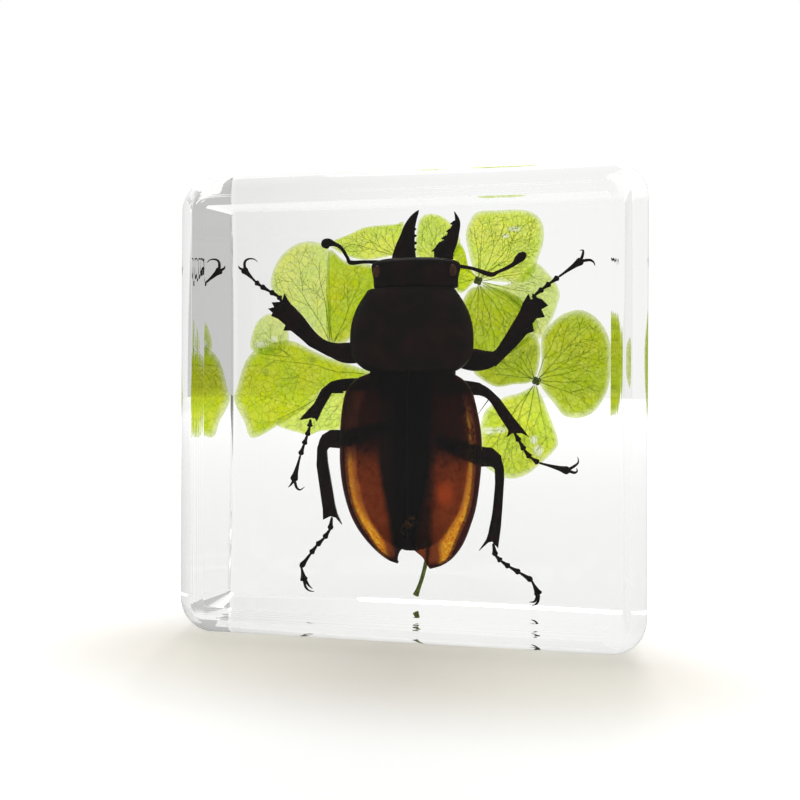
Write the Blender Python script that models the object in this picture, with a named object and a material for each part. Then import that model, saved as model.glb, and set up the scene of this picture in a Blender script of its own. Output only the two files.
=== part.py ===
"""A stag beetle on pressed florets, cast in a clear resin block that stands on its thin lower edge.

The block's flat front faces -Y, its base lies on z = 0 and its base centre is the origin. The beetle
shows its back to the front, head up; the petals lie flat behind its legs, just inside the back face.
The clear block is parted across its depth in two halves, and the pocket between them holds the rest.
All figures below are millimetres; MM turns them into the metres that the meshes are made in.
"""
import math

import bmesh
import bpy
from mathutils import Vector

MM = 0.001

# ---- the block -------------------------------------------------------------------------------------
BLOCK_WIDTH = 38.0
BLOCK_HEIGHT = 38.0
BLOCK_DEPTH = 15.0
SIDE_DRAFT = 0.35          # how far each side wall draws in from the front round to the back face
FRONT_FILLET = 3.1         # polished round between the front face and the four walls
CORNER_RADIUS = 3.6        # round of the four corners, seen from the front
BACK_CHAMFER = 0.3         # narrow broken edge round the back face
PARTING_Y = 3.5            # the plane on which the two halves of the casting meet
GAP = 0.3                  # clearance between neighbouring pieces
FILLET_STEPS = 5
CORNER_STEPS = 6

# ---- the pocket: a wide shallow space behind the parting, and a deeper one for the beetle in front --
WIDE_POCKET = (-18.0, 17.9, 0.35, 37.6)        # x low, x high, z low, z high
WIDE_POCKET_BACK_Y = 7.15
DEEP_POCKET = (-10.6, 10.9, 3.6, 37.2)
DEEP_POCKET_FRONT_Y = -1.7
POCKET_CORNER = 2.4
CUT_PAST = 1.0             # how far each pocket's cutter runs past the parting

FRONT_Y = -BLOCK_DEPTH / 2
BACK_Y = BLOCK_DEPTH / 2
HALF_GAP = GAP / 2

# ---- the beetle: places on the block's x, y and z --------------------------------------------------
BODY_X = 0.05              # the beetle's middle line
BODY_EDGE_Y = 2.1          # where the back's dome meets the side edge
ELYTRON_WALL = 0.55
# each wing case from tip to shoulder: height, inner edge, outer edge, dome height
ELYTRA = {
    "elytron_left": (-1, (
        (5.1, 1.05, 1.75, 1.1), (5.5, 1.0, 2.3, 1.4), (6.2, 0.95, 3.2, 1.9), (7.0, 0.3, 4.1, 2.3),
        (9.5, 0.16, 5.6, 2.8), (13.9, 0.16, 6.47, 3.2), (17.0, 0.16, 6.45, 3.2), (19.9, 0.16, 6.1, 3.0),
        (21.0, 0.16, 5.1, 2.6), (21.6, 0.16, 3.8, 2.1))),
    "elytron_right": (1, (
        (4.7, 1.95, 2.7, 1.1), (5.05, 1.6, 3.4, 1.4), (5.8, 1.2, 4.2, 1.8), (6.8, 0.35, 4.8, 2.2),
        (8.3, 0.16, 5.4, 2.6), (10.3, 0.16, 5.95, 2.9), (13.6, 0.16, 6.33, 3.2), (16.4, 0.16, 6.32, 3.2),
        (19.9, 0.16, 5.5, 3.0), (21.0, 0.16, 4.8, 2.6), (21.6, 0.16, 3.7, 2.1))),
}
# the neck shield: height, half width, dome height, rear to front
PRONOTUM_STATIONS = (
    (22.0, 3.2, 2.0), (22.5, 4.6, 2.5), (23.9, 5.55, 2.9), (25.8, 5.55, 3.0),
    (27.6, 5.0, 2.8), (28.7, 4.3, 2.4), (29.3, 3.6, 1.9),
)
HEAD_X = 0.62              # the head is turned a little to the beetle's right
HEAD_STATIONS = (
    (29.65, 3.35, 1.6), (30.2, 3.75, 1.9), (31.1, 3.9, 1.9), (31.7, 3.5, 1.6), (32.15, 2.2, 1.2),
)
UNDERSIDE_STATIONS = (
    (5.9, 1.0, 0.25), (7.2, 3.2, 0.7), (10.0, 4.6, 0.95), (14.0, 5.2, 1.0), (18.5, 4.9, 1.0),
    (21.4, 3.9, 0.9), (24.5, 3.9, 0.9), (27.3, 3.6, 0.8), (28.8, 2.2, 0.4),
)
UNDERSIDE_Y = 3.05
EYE_OUT = 3.45             # each eye's distance from the head's middle
EYE_Z = 31.05
EYE_SIZE = (0.62, 0.75, 0.62)


def clear_scene():
    """Starts from nothing, so that the object is all that the scene holds."""
    for old in list(bpy.data.objects):
        bpy.data.objects.remove(old, do_unlink=True)


def make_material(name, colour, roughness, transmission=0.0, ior=1.5):
    """A Principled finish: colour as linear red, green and blue."""
    material = bpy.data.materials.new(name)
    material.use_nodes = True
    shader = material.node_tree.nodes["Principled BSDF"]
    shader.inputs["Base Color"].default_value = (*colour, 1.0)
    shader.inputs["Roughness"].default_value = roughness
    shader.inputs["Metallic"].default_value = 0.0
    shader.inputs["Transmission Weight"].default_value = transmission
    shader.inputs["IOR"].default_value = ior
    return material


def add_object(name, mesh, material, smooth_angle=40.0):
    """Puts a mesh into the scene under its piece's name, shaded smooth over its round stretches."""
    mesh.shade_smooth()
    mesh.set_sharp_from_angle(angle=math.radians(smooth_angle))
    piece = bpy.data.objects.new(name, mesh)
    bpy.context.scene.collection.objects.link(piece)
    if material:
        piece.data.materials.append(material)
    return piece


def loft(name, rings, material=None, smooth_angle=40.0):
    """One closed skin over a row of rings with equal point counts, with flat ends."""
    shape = bmesh.new()
    rows = [[shape.verts.new(Vector(point) * MM) for point in ring] for ring in rings]
    for low, high in zip(rows, rows[1:]):
        for a, b, c, d in zip(low, low[1:] + low[:1], high[1:] + high[:1], high):
            shape.faces.new((a, b, c, d))
    shape.faces.new(rows[0][::-1])
    shape.faces.new(rows[-1])
    bmesh.ops.recalc_face_normals(shape, faces=shape.faces)
    mesh = bpy.data.meshes.new(name)
    shape.to_mesh(mesh)
    shape.free()
    return add_object(name, mesh, material, smooth_angle)


def combine(piece, tools, operation):
    """Joins tool bodies to a piece, or cuts them from it, and keeps them as hidden wire guides."""
    for number, tool in enumerate(tools):
        step = piece.modifiers.new(f"{operation.lower()}_{number}", "BOOLEAN")
        step.operation = operation
        step.solver = "EXACT"
        step.object = tool
        tool.hide_render = True
        tool.display_type = "WIRE"


# ---- resin block -----------------------------------------------------------------------------------
def rounded_rectangle(x_low, x_high, z_low, z_high, radius, y, steps=CORNER_STEPS):
    """Points of a rectangle with round corners in the plane y, anticlockwise from its right side."""
    corners = (
        (x_high - radius, z_high - radius, 0), (x_low + radius, z_high - radius, 90),
        (x_low + radius, z_low + radius, 180), (x_high - radius, z_low + radius, 270),
    )
    points = []
    for x, z, start in corners:
        for step in range(steps + 1):
            angle = math.radians(start + 90 * step / steps)
            points.append((x + radius * math.cos(angle), y, z + radius * math.sin(angle)))
    return points


def block_ring(y, inset):
    """The block's outline at depth y, drawn in by inset all round."""
    straight = BLOCK_DEPTH - FRONT_FILLET
    draft = SIDE_DRAFT * max(0.0, y - FRONT_Y - FRONT_FILLET) / straight
    half = BLOCK_WIDTH / 2 - draft - inset
    return rounded_rectangle(-half, half, inset, BLOCK_HEIGHT - inset, CORNER_RADIUS - inset, y)


def pocket(name, sides, y_front, y_back):
    """A cutter for one half's share of the pocket, with round corners."""
    return loft(name, [rounded_rectangle(*sides, POCKET_CORNER, y, steps=3) for y in (y_front, y_back)])


def make_resin(material):
    """The two halves of the clear casting, each with its part of the pocket."""
    front = []
    for step in range(FILLET_STEPS + 1):
        turn = math.pi / 2 * step / FILLET_STEPS
        y = FRONT_Y + FRONT_FILLET * (1 - math.cos(turn))
        front.append(block_ring(y, FRONT_FILLET * (1 - math.sin(turn))))
    front.append(block_ring(PARTING_Y - HALF_GAP, 0.0))
    back = [
        block_ring(PARTING_Y + HALF_GAP, 0.0),
        block_ring(BACK_Y - BACK_CHAMFER, 0.0),
        block_ring(BACK_Y, BACK_CHAMFER),
    ]
    deep = pocket("deep_pocket", DEEP_POCKET, DEEP_POCKET_FRONT_Y, PARTING_Y + CUT_PAST)
    wide = pocket("wide_pocket", WIDE_POCKET, PARTING_Y - CUT_PAST, WIDE_POCKET_BACK_Y)
    combine(loft("resin_front", front, material, 25.0), [deep], "DIFFERENCE")
    combine(loft("resin_back", back, material, 25.0), [wide], "DIFFERENCE")


# ---- beetle body -----------------------------------------------------------------------------------
def dome_ring(x_middle, y_edge, half_width, dome, belly, z, steps=9):
    """A body cross-section: a high dome to the front and a shallow belly to the back."""
    points = []
    for step in range(steps + 1):
        angle = math.pi * step / steps
        points.append((x_middle - half_width * math.cos(angle), y_edge - dome * math.sin(angle) ** 0.8, z))
    for step in range(1, steps):
        angle = math.pi * step / steps
        points.append((x_middle + half_width * math.cos(angle), y_edge + belly * math.sin(angle), z))
    return points


def make_pronotum(material):
    """The neck shield, domed across its back."""
    rings = [dome_ring(BODY_X, BODY_EDGE_Y, half, dome, 0.15, z) for z, half, dome in PRONOTUM_STATIONS]
    loft("pronotum", rings, material)


def make_head(material):
    """The head with an eye bulging from each side."""
    rings = [dome_ring(HEAD_X, BODY_EDGE_Y, half, dome, 1.1, z) for z, half, dome in HEAD_STATIONS]
    head = loft("head", rings, material)
    eyes = [make_ball(f"eye_{side}", (HEAD_X + sign * EYE_OUT, BODY_EDGE_Y - 0.5, EYE_Z), EYE_SIZE)
            for side, sign in (("left", -1), ("right", 1))]
    combine(head, eyes, "UNION")


def make_ball(name, centre, radii):
    """A low ball stretched to three radii."""
    shape = bmesh.new()
    bmesh.ops.create_uvsphere(shape, u_segments=10, v_segments=6, radius=1.0)
    for vert in shape.verts:
        vert.co = Vector([(c + r * p) * MM for c, r, p in zip(centre, radii, vert.co)])
    mesh = bpy.data.meshes.new(name)
    shape.to_mesh(mesh)
    shape.free()
    return add_object(name, mesh, None)


def elytron_ring(side, inner, outer, dome, z, steps=8):
    """A wing case cut across: an arched wall from the middle seam out to the side edge."""
    outside, inside = [], []
    for step in range(steps + 1):
        angle = math.pi / 2 * step / steps
        across, rise = math.sin(angle), math.cos(angle) ** 0.8
        x = inner + (outer - inner) * across
        outside.append((BODY_X + side * x, BODY_EDGE_Y - dome * rise, z))
        x_in = inner + (outer - ELYTRON_WALL - inner) * across
        inside.append((BODY_X + side * x_in, BODY_EDGE_Y - (dome - ELYTRON_WALL) * rise, z))
    return outside + inside[::-1]


def make_elytra(material):
    """Two wing cases whose seam runs down the middle of the back and gapes at the tip."""
    for name, (side, stations) in ELYTRA.items():
        rings = [elytron_ring(side, inner, outer, dome, z) for z, inner, outer, dome in stations]
        loft(name, rings, material)


def make_underside(material):
    """The plates under the wing cases and the neck shield, in one flat oval body."""
    rings = [dome_ring(BODY_X, UNDERSIDE_Y, half, thick * 0.6, thick * 0.75, z, steps=8)
             for z, half, thick in UNDERSIDE_STATIONS]
    loft("underside", rings, material)


# ---- limbs -----------------------------------------------------------------------------------------
def limb_rings(stations, sides, flatness):
    """Oval rings along a path in the block's upright plane; each station is x, y, z and width."""
    places = [Vector(station[:3]) for station in stations]
    rings = []
    for number, (place, station) in enumerate(zip(places, stations)):
        before = places[max(number - 1, 0)]
        after = places[min(number + 1, len(places) - 1)]
        along = (after - before).normalized()
        across = Vector((along.z, 0.0, -along.x)).normalized()
        deep = along.cross(across).normalized()
        half = station[3] / 2
        thick = min(half, half * flatness + 0.08)
        ring = []
        for side in range(sides):
            angle = 2 * math.pi * side / sides
            ring.append(place + across * half * math.cos(angle) + deep * thick * math.sin(angle))
        rings.append(ring)
    return rings


def make_spike(name, root, tip, width, bend=(0.0, 0.0), steps=3):
    """A tooth, spine or claw: a cone from root to tip, bowed sideways by bend in x and z."""
    root, tip = Vector(root), Vector(tip)
    stations = []
    for step in range(steps + 1):
        share = step / steps
        place = root.lerp(tip, share)
        bow = math.sin(math.pi * share)
        stations.append((place.x + bend[0] * bow, place.y, place.z + bend[1] * bow,
                         width * (1 - share) + 0.1 * share))
    return loft(name, limb_rings(stations, 5, 0.8))


def make_limb(name, stations, spikes, material, sides=8, flatness=0.7):
    """A limb as one solid, its spikes joined on; each spike is root, tip, width and bow."""
    limb = loft(name, limb_rings(stations, sides, flatness), material)
    tools = [make_spike(f"{name}_spike_{number}", *spike) for number, spike in enumerate(spikes)]
    combine(limb, tools, "UNION")
    return limb


def tarsus(joints, y_start, y_end, width=0.5):
    """Foot segments through the joints: each starts thin and flares before the next one."""
    stations = []
    count = len(joints) - 1
    for number in range(count):
        (x0, z0), (x1, z1) = joints[number:number + 2]
        for share, scale in ((0.12, 0.6), (0.55, 0.85), (0.88, 1.25)):
            y = y_start + (y_end - y_start) * (number + share) / count
            last = 0.8 if number == count - 1 and share < 0.8 else 1.0
            stations.append((x0 + (x1 - x0) * share, y, z0 + (z1 - z0) * share, width * scale * last))
    return stations


LEGS = {
    # thigh and shin stations (x, y, z, width), foot joints (x, z), the foot's y at its two ends,
    # then spines (root, tip, width) and claws (tip, bow in x and z)
    "leg_front_left": dict(
        shin=((-2.2, 4.75, 24.3, 1.2), (-4.2, 4.8, 24.0, 1.8), (-6.3, 4.8, 23.85, 2.1),
              (-7.7, 4.8, 24.1, 1.8), (-8.7, 4.8, 24.7, 1.3), (-9.7, 4.8, 25.6, 1.35),
              (-11.3, 4.8, 26.9, 1.5), (-12.7, 4.85, 28.1, 1.9), (-13.4, 4.9, 28.75, 1.7),
              (-13.75, 4.95, 29.1, 0.7)),
        foot=((-13.7, 29.2), (-14.45, 30.0), (-15.3, 30.45), (-16.3, 31.5), (-16.95, 32.15)),
        foot_y=(5.0, 6.0),
        spines=(((-13.1, 4.9, 28.0), (-14.5, 4.9, 27.9), 0.5),
                ((-12.3, 4.9, 27.3), (-13.7, 4.9, 26.9), 0.5),
                ((-12.9, 4.9, 28.6), (-12.9, 4.9, 29.9), 0.45),
                ((-11.2, 4.85, 26.4), (-12.3, 4.85, 25.8), 0.4)),
        claws=(((-15.4, 6.1, 32.7), (-0.4, 0.6)), ((-17.35, 6.4, 33.3), (-0.25, 0.1)))),
    "leg_front_right": dict(
        shin=((2.3, 4.75, 23.9, 1.2), (4.0, 4.8, 23.5, 1.8), (5.6, 4.8, 23.2, 2.2), (6.9, 4.8, 23.2, 1.9),
              (7.9, 4.8, 23.7, 1.3), (8.7, 4.8, 24.7, 1.3), (9.8, 4.8, 26.3, 1.5),
              (11.0, 4.85, 27.8, 1.9), (11.5, 4.9, 28.5, 1.7), (11.75, 4.95, 29.0, 0.7)),
        foot=((11.6, 29.1), (11.95, 29.75), (12.6, 30.25), (13.4, 30.8), (15.0, 32.2)),
        foot_y=(5.0, 5.6),
        spines=(((11.2, 4.9, 28.1), (12.5, 4.9, 28.0), 0.5),
                ((10.7, 4.9, 27.0), (12.2, 4.9, 26.9), 0.5),
                ((11.1, 4.9, 28.4), (10.9, 4.9, 29.8), 0.45),
                ((10.0, 4.85, 25.9), (11.2, 4.85, 25.5), 0.4)),
        claws=(((15.4, 5.7, 33.2), (-0.1, 0.1)), ((16.5, 5.8, 31.95), (0.3, 0.45)))),
    "leg_middle_left": dict(
        shin=((-2.0, 4.7, 20.3, 1.0), (-4.4, 4.75, 20.8, 1.4), (-6.6, 4.8, 21.1, 1.4),
              (-7.9, 4.8, 21.0, 1.05), (-8.5, 4.8, 20.3, 0.85), (-9.1, 4.85, 19.2, 1.0),
              (-9.8, 4.9, 18.0, 1.25), (-10.1, 4.95, 17.4, 0.6)),
        foot=((-10.1, 17.4), (-10.45, 16.0), (-10.8, 15.15), (-11.05, 14.2), (-11.35, 12.8),
              (-11.7, 11.5)),
        foot_y=(5.0, 5.1),
        spines=(((-9.8, 4.9, 18.2), (-11.0, 4.9, 17.8), 0.4),
                ((-9.2, 4.9, 19.2), (-10.1, 4.9, 19.1), 0.35),
                ((-9.8, 4.9, 18.0), (-9.0, 4.9, 17.1), 0.35)),
        claws=(((-12.25, 5.1, 10.85), (-0.15, -0.05)), ((-10.85, 5.1, 10.75), (0.05, -0.3)))),
    "leg_middle_right": dict(
        shin=((2.2, 4.7, 20.2, 1.0), (3.9, 4.75, 20.8, 1.5), (5.3, 4.8, 20.9, 1.5),
              (6.4, 4.8, 20.5, 1.1), (7.2, 4.8, 19.6, 0.85), (8.3, 4.85, 18.1, 0.95),
              (9.35, 4.9, 16.8, 1.15), (9.75, 4.95, 16.2, 0.6)),
        foot=((9.75, 16.2), (10.3, 14.9), (10.9, 14.25), (11.6, 13.75), (12.95, 13.0), (14.2, 13.0)),
        foot_y=(5.0, 5.2),
        spines=(((9.2, 4.9, 17.0), (10.6, 4.9, 16.3), 0.4),
                ((8.4, 4.9, 18.0), (9.4, 4.9, 17.7), 0.35),
                ((9.3, 4.9, 16.9), (9.0, 4.9, 15.9), 0.35)),
        claws=(((15.1, 5.2, 14.1), (0.3, -0.2)), ((15.2, 5.2, 12.75), (0.1, 0.2)))),
    "leg_hind_left": dict(
        shin=((-2.0, 4.7, 17.0, 1.2), (-4.6, 4.75, 16.2, 1.7), (-7.0, 4.8, 15.7, 1.75),
              (-8.3, 4.8, 15.5, 1.5), (-8.95, 4.8, 14.6, 1.1), (-8.95, 4.85, 13.2, 1.1),
              (-8.5, 4.9, 10.8, 1.1), (-8.05, 4.9, 8.7, 1.25), (-7.95, 4.95, 8.1, 0.7)),
        foot=((-8.0, 8.0), (-8.65, 6.6), (-9.35, 5.7), (-9.95, 4.85), (-10.7, 3.4), (-10.75, 2.2)),
        foot_y=(5.0, 5.2),
        spines=(((-8.1, 4.9, 8.8), (-7.0, 4.9, 7.4), 0.4),
                ((-8.5, 4.9, 10.4), (-9.4, 4.9, 10.0), 0.35)),
        claws=(((-10.0, 5.2, 0.95), (-0.35, -0.1)), ((-9.6, 5.2, 1.7), (-0.05, -0.3)))),
    "leg_hind_right": dict(
        shin=((2.0, 4.7, 15.9, 1.2), (4.2, 4.75, 14.9, 1.7), (6.0, 4.8, 14.4, 1.8),
              (7.4, 4.8, 14.1, 1.5), (8.05, 4.8, 13.2, 1.0), (8.05, 4.85, 11.9, 1.0),
              (7.75, 4.9, 9.0, 1.05), (7.45, 4.9, 6.9, 1.25), (7.4, 4.95, 6.2, 0.7)),
        foot=((7.4, 6.1), (7.65, 5.0), (8.15, 4.5), (9.0, 4.1), (10.0, 3.5), (11.2, 2.6),
              (11.95, 1.8)),
        foot_y=(5.0, 5.2),
        spines=(((7.4, 4.9, 6.9), (6.5, 4.9, 5.5), 0.4), ((7.7, 4.9, 8.6), (8.6, 4.9, 8.2), 0.35)),
        claws=(((11.5, 5.2, 0.75), (0.3, -0.1)), ((10.7, 5.2, 0.8), (0.2, -0.3)))),
}
CLAW_WIDTH = 0.34
CLAW_ROOT = 0.6            # where on the last foot segment the claws start


def make_legs(material):
    """Six legs, each one solid from its hip to its claws."""
    for name, leg in LEGS.items():
        stations = leg["shin"] + tuple(tarsus(leg["foot"], *leg["foot_y"]))
        (x0, z0), (x1, z1) = leg["foot"][-2:]
        root = (x0 + (x1 - x0) * CLAW_ROOT, leg["foot_y"][1] - 0.08, z0 + (z1 - z0) * CLAW_ROOT)
        claws = [(root, tip, CLAW_WIDTH, bow) for tip, bow in leg["claws"]]
        make_limb(name, stations, list(leg["spines"]) + claws, material)


# each jaw: stations (x, y, z, width) from its root up, the roots of its teeth (x, z), their reach
MANDIBLES = {
    "mandible_left": (
        ((-0.71, 2.7, 32.45, 2.1), (-0.63, 2.8, 33.3, 1.85), (-0.45, 2.9, 34.2, 1.4),
         (-0.27, 3.0, 35.1, 1.1), (0.05, 3.05, 35.9, 0.75), (0.35, 3.1, 36.4, 0.45),
         (0.55, 3.1, 36.7, 0.15)),
        ((0.08, 33.05), (0.08, 33.7), (0.06, 34.4), (0.06, 35.0)), 0.36),
    "mandible_right": (
        ((2.95, 2.7, 32.45, 1.6), (2.95, 2.8, 32.95, 1.9), (3.45, 2.9, 33.6, 1.3),
         (3.72, 3.0, 34.4, 1.1), (4.0, 3.05, 35.2, 0.8), (4.1, 3.1, 35.8, 0.4),
         (3.88, 3.1, 36.5, 0.15)),
        ((2.5, 33.1), (3.2, 33.95), (3.55, 34.6), (3.9, 35.25)), -0.5),
}


def make_mandibles(material):
    """Two jaws that taper upwards, with four teeth on their inner edges."""
    for name, (stations, teeth, reach) in MANDIBLES.items():
        spikes = [((x, 2.95, z), (x + reach, 2.95, z + 0.1), 0.5) for x, z in teeth]
        make_limb(name, stations, spikes, material, flatness=0.6)


ANTENNAE = {
    "antenna_left": ((-3.9, 2.6, 32.3, 0.4), (-4.6, 2.8, 32.25, 0.34), (-5.7, 3.0, 32.15, 0.5),
                     (-6.05, 3.0, 32.6, 0.36), (-6.6, 3.0, 33.45, 0.42), (-7.2, 3.0, 33.8, 0.45),
                     (-7.75, 3.0, 33.95, 0.95), (-8.15, 3.0, 33.8, 0.85), (-8.4, 3.0, 33.65, 0.3)),
    "antenna_right": ((4.95, 2.6, 31.75, 0.4), (5.8, 2.8, 31.3, 0.34), (7.1, 3.0, 30.75, 0.5),
                      (7.75, 3.0, 31.0, 0.36), (8.6, 3.0, 31.35, 0.42), (9.2, 3.0, 31.7, 0.45),
                      (9.6, 3.0, 32.1, 0.9), (9.95, 3.0, 32.45, 0.8), (10.1, 3.0, 32.7, 0.3)),
}


def make_antennae(material):
    """Two elbowed feelers that end in a club."""
    for name, stations in ANTENNAE.items():
        make_limb(name, stations, (), material, sides=6, flatness=0.9)


# ---- petals and stem -------------------------------------------------------------------------------
PETAL_THICKNESS = 0.16
LAYER_Y = {"near": 5.92, "mid": 6.3, "far": 6.68}     # middle plane of each of the three petal layers
SPAN_STEPS = 4             # straight steps between two outline points
# the layer that a petal is pressed in, then its outline: x and z, from its base round to its base
PETALS = {
    "petal_left_upper": ("mid", ((-8.3, 24.9), (-11.0, 27.5), (-13.9, 30.4), (-13.8, 32.5), (-12.0, 34.4),
                                 (-9.5, 34.5), (-6.9, 33.0), (-4.3, 32.3), (-4.1, 30.0), (-6.1, 27.0))),
    "petal_left_inner": ("far", ((-8.5, 25.8), (-9.0, 29.3), (-8.7, 33.6), (-5.6, 33.0), (-4.3, 32.1),
                                 (-4.3, 29.9), (-6.5, 27.0))),
    "petal_left_top": ("near", ((-7.3, 32.7), (-7.1, 34.8), (-4.5, 35.9), (-1.7, 36.1), (-1.1, 33.8),
                                (-4.2, 32.5))),
    "petal_left_side": ("mid", ((-4.3, 21.8), (-8.6, 23.6), (-12.5, 24.7), (-16.2, 24.1), (-17.6, 19.6),
                                (-16.3, 15.6), (-12.2, 17.3), (-8.2, 20.1))),
    "petal_left_pale": ("far", ((-16.2, 24.4), (-16.4, 26.4), (-14.7, 28.0), (-13.1, 26.7), (-12.7, 24.7),
                                (-14.3, 23.7))),
    "petal_left_lower": ("near", ((-5.8, 20.6), (-7.0, 16.9), (-10.1, 15.9), (-13.4, 16.5), (-11.1, 18.2),
                                  (-7.8, 20.3))),
    "petal_middle_top": ("mid", ((0.4, 33.8), (0.6, 36.3), (2.0, 37.2), (3.8, 36.5), (4.6, 34.6),
                                 (4.6, 32.6), (2.4, 32.2))),
    "petal_a_upper": ("far", ((6.1, 31.4), (4.9, 34.1), (5.1, 36.7), (7.4, 37.4), (10.5, 37.2),
                              (12.0, 35.7), (11.8, 33.6), (9.0, 31.6))),
    "petal_a_right": ("mid", ((6.7, 30.8), (9.0, 31.2), (11.6, 32.9), (13.5, 30.5), (13.3, 27.6),
                              (11.4, 25.6), (8.7, 28.0))),
    "petal_a_lower": ("far", ((6.0, 30.1), (8.1, 29.3), (9.6, 26.3), (9.0, 23.5), (6.5, 22.0),
                              (4.6, 23.5), (4.5, 28.3))),
    "petal_a_inner": ("near", ((5.3, 30.9), (4.5, 29.3), (3.1, 29.3), (3.3, 31.5), (4.6, 32.2))),
    "petal_b_right": ("far", ((12.1, 21.5), (12.3, 25.0), (14.9, 27.6), (16.9, 26.8), (17.6, 24.2),
                              (17.4, 20.4), (15.6, 17.8), (13.1, 19.0))),
    "petal_b_lower": ("mid", ((11.3, 20.6), (13.2, 17.6), (13.4, 15.1), (11.3, 12.9), (8.5, 12.1),
                              (6.4, 14.0), (6.4, 18.0), (9.1, 19.7))),
    "petal_b_left": ("near", ((10.8, 21.4), (8.1, 20.6), (5.6, 21.7), (6.8, 23.2), (9.6, 25.2),
                              (11.8, 24.6), (12.0, 22.6))),
}
FLORET_CENTRES = {"floret_centre_a": (6.0, 30.75), "floret_centre_b": (11.5, 21.25)}
CENTRE_RADIUS = 0.42
STEM = ((1.35, 5.9, 5.6, 0.5), (1.2, 6.1, 3.9, 0.45), (0.75, 6.2, 2.2, 0.45), (0.2, 6.2, 0.75, 0.75))


def smooth_outline(points, steps=SPAN_STEPS):
    """A closed curve through the points, each span a cubic that leaves along its neighbours' chord."""
    count = len(points)
    curve = []
    for number in range(count):
        p0, p1, p2, p3 = (Vector(points[(number + k - 1) % count]) for k in range(4))
        for step in range(steps):
            t = step / steps
            curve.append(0.5 * (2 * p1 + (p2 - p0) * t + (2 * p0 - 5 * p1 + 4 * p2 - p3) * t * t
                                + (3 * p1 - p0 - 3 * p2 + p3) * t ** 3))
    return curve


def make_florets(petal_material, centre_material, stem_material):
    """The pressed petals, the two floret centres and the short cut stem below the beetle."""
    for name, (layer, points) in PETALS.items():
        outline = smooth_outline(points)
        sides = [LAYER_Y[layer] + side * PETAL_THICKNESS / 2 for side in (-1, 1)]
        loft(name, [[(x, y, z) for x, z in outline] for y in sides], petal_material, 50.0)
    for name, (x, z) in FLORET_CENTRES.items():
        make_ball(name, (x, LAYER_Y["mid"] - 0.1, z), (CENTRE_RADIUS, 0.3, CENTRE_RADIUS))
        bpy.data.objects[name].data.materials.append(centre_material)
    loft("stem", limb_rings(STEM, 8, 0.8), stem_material)


def main():
    clear_scene()
    resin = make_material("clear cast resin", (1.0, 1.0, 1.0), 0.02, transmission=1.0, ior=1.5)
    shell = make_material("near-black beetle shell", (0.012, 0.007, 0.006), 0.3)
    case = make_material("red-brown wing case", (0.17, 0.035, 0.012), 0.3)
    green = make_material("pressed green petal", (0.42, 0.55, 0.05), 0.6)
    heart = make_material("pale floret centre", (0.55, 0.62, 0.25), 0.6)
    olive = make_material("dry olive stem", (0.2, 0.26, 0.07), 0.6)
    make_resin(resin)
    make_head(shell)
    make_mandibles(shell)
    make_antennae(shell)
    make_pronotum(shell)
    make_elytra(case)
    make_underside(shell)
    make_legs(shell)
    make_florets(green, heart, olive)


main()
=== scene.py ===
# %% [markdown]
# # A stag beetle cast in clear resin
# The object is a square block of clear resin with a stag beetle and a few pressed green petals sealed in it.
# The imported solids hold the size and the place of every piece. Here each piece is made again at its place,
# with the shape and the finish of the real one, in the same frame: X to the right, Y from the front face to
# the back, Z up.

# %% Load the frame
import math

import bmesh
import bpy
import numpy as np
from mathutils import Matrix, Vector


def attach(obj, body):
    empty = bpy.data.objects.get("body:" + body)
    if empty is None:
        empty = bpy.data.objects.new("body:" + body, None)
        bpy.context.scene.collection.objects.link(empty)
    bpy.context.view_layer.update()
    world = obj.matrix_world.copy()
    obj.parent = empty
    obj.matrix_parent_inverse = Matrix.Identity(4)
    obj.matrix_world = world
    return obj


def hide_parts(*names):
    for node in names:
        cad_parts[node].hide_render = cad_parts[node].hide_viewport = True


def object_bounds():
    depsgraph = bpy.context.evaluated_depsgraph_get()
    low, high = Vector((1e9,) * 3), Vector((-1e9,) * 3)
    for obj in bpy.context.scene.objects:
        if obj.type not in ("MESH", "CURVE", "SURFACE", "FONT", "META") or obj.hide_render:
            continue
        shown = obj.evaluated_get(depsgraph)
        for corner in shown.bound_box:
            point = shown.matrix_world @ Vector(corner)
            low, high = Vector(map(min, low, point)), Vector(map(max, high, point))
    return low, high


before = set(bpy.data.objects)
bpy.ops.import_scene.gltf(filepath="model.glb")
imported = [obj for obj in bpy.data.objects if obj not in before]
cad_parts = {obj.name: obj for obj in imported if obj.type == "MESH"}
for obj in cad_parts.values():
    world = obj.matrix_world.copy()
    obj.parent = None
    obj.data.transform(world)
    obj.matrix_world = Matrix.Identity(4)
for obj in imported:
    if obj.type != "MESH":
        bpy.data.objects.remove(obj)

MM = 0.001                  # shapes below are written in millimetres, meshes are in metres
BOX_OF_SOLIDS = [list(corner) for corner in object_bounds()]
LOW, HIGH = (np.array(corner) / MM for corner in BOX_OF_SOLIDS)
FRONT_Y, BACK_Y = LOW[1], HIGH[1]
BLOCK_HEIGHT = HIGH[2]
print("the block measures", np.round(HIGH - LOW, 2), "mm")

# %% [markdown]
# ## Shapes as grids of points
# A surface can be pushed and pulled by hand, or grown with modifiers, but a beetle's skin, a leg or a petal
# is easier to say as a rule: a point for each pair of numbers, one along the piece and one round it. numpy
# works out all points of such a grid at once. The stations that a shape passes through are few, and a cubic
# joins them.


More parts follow.
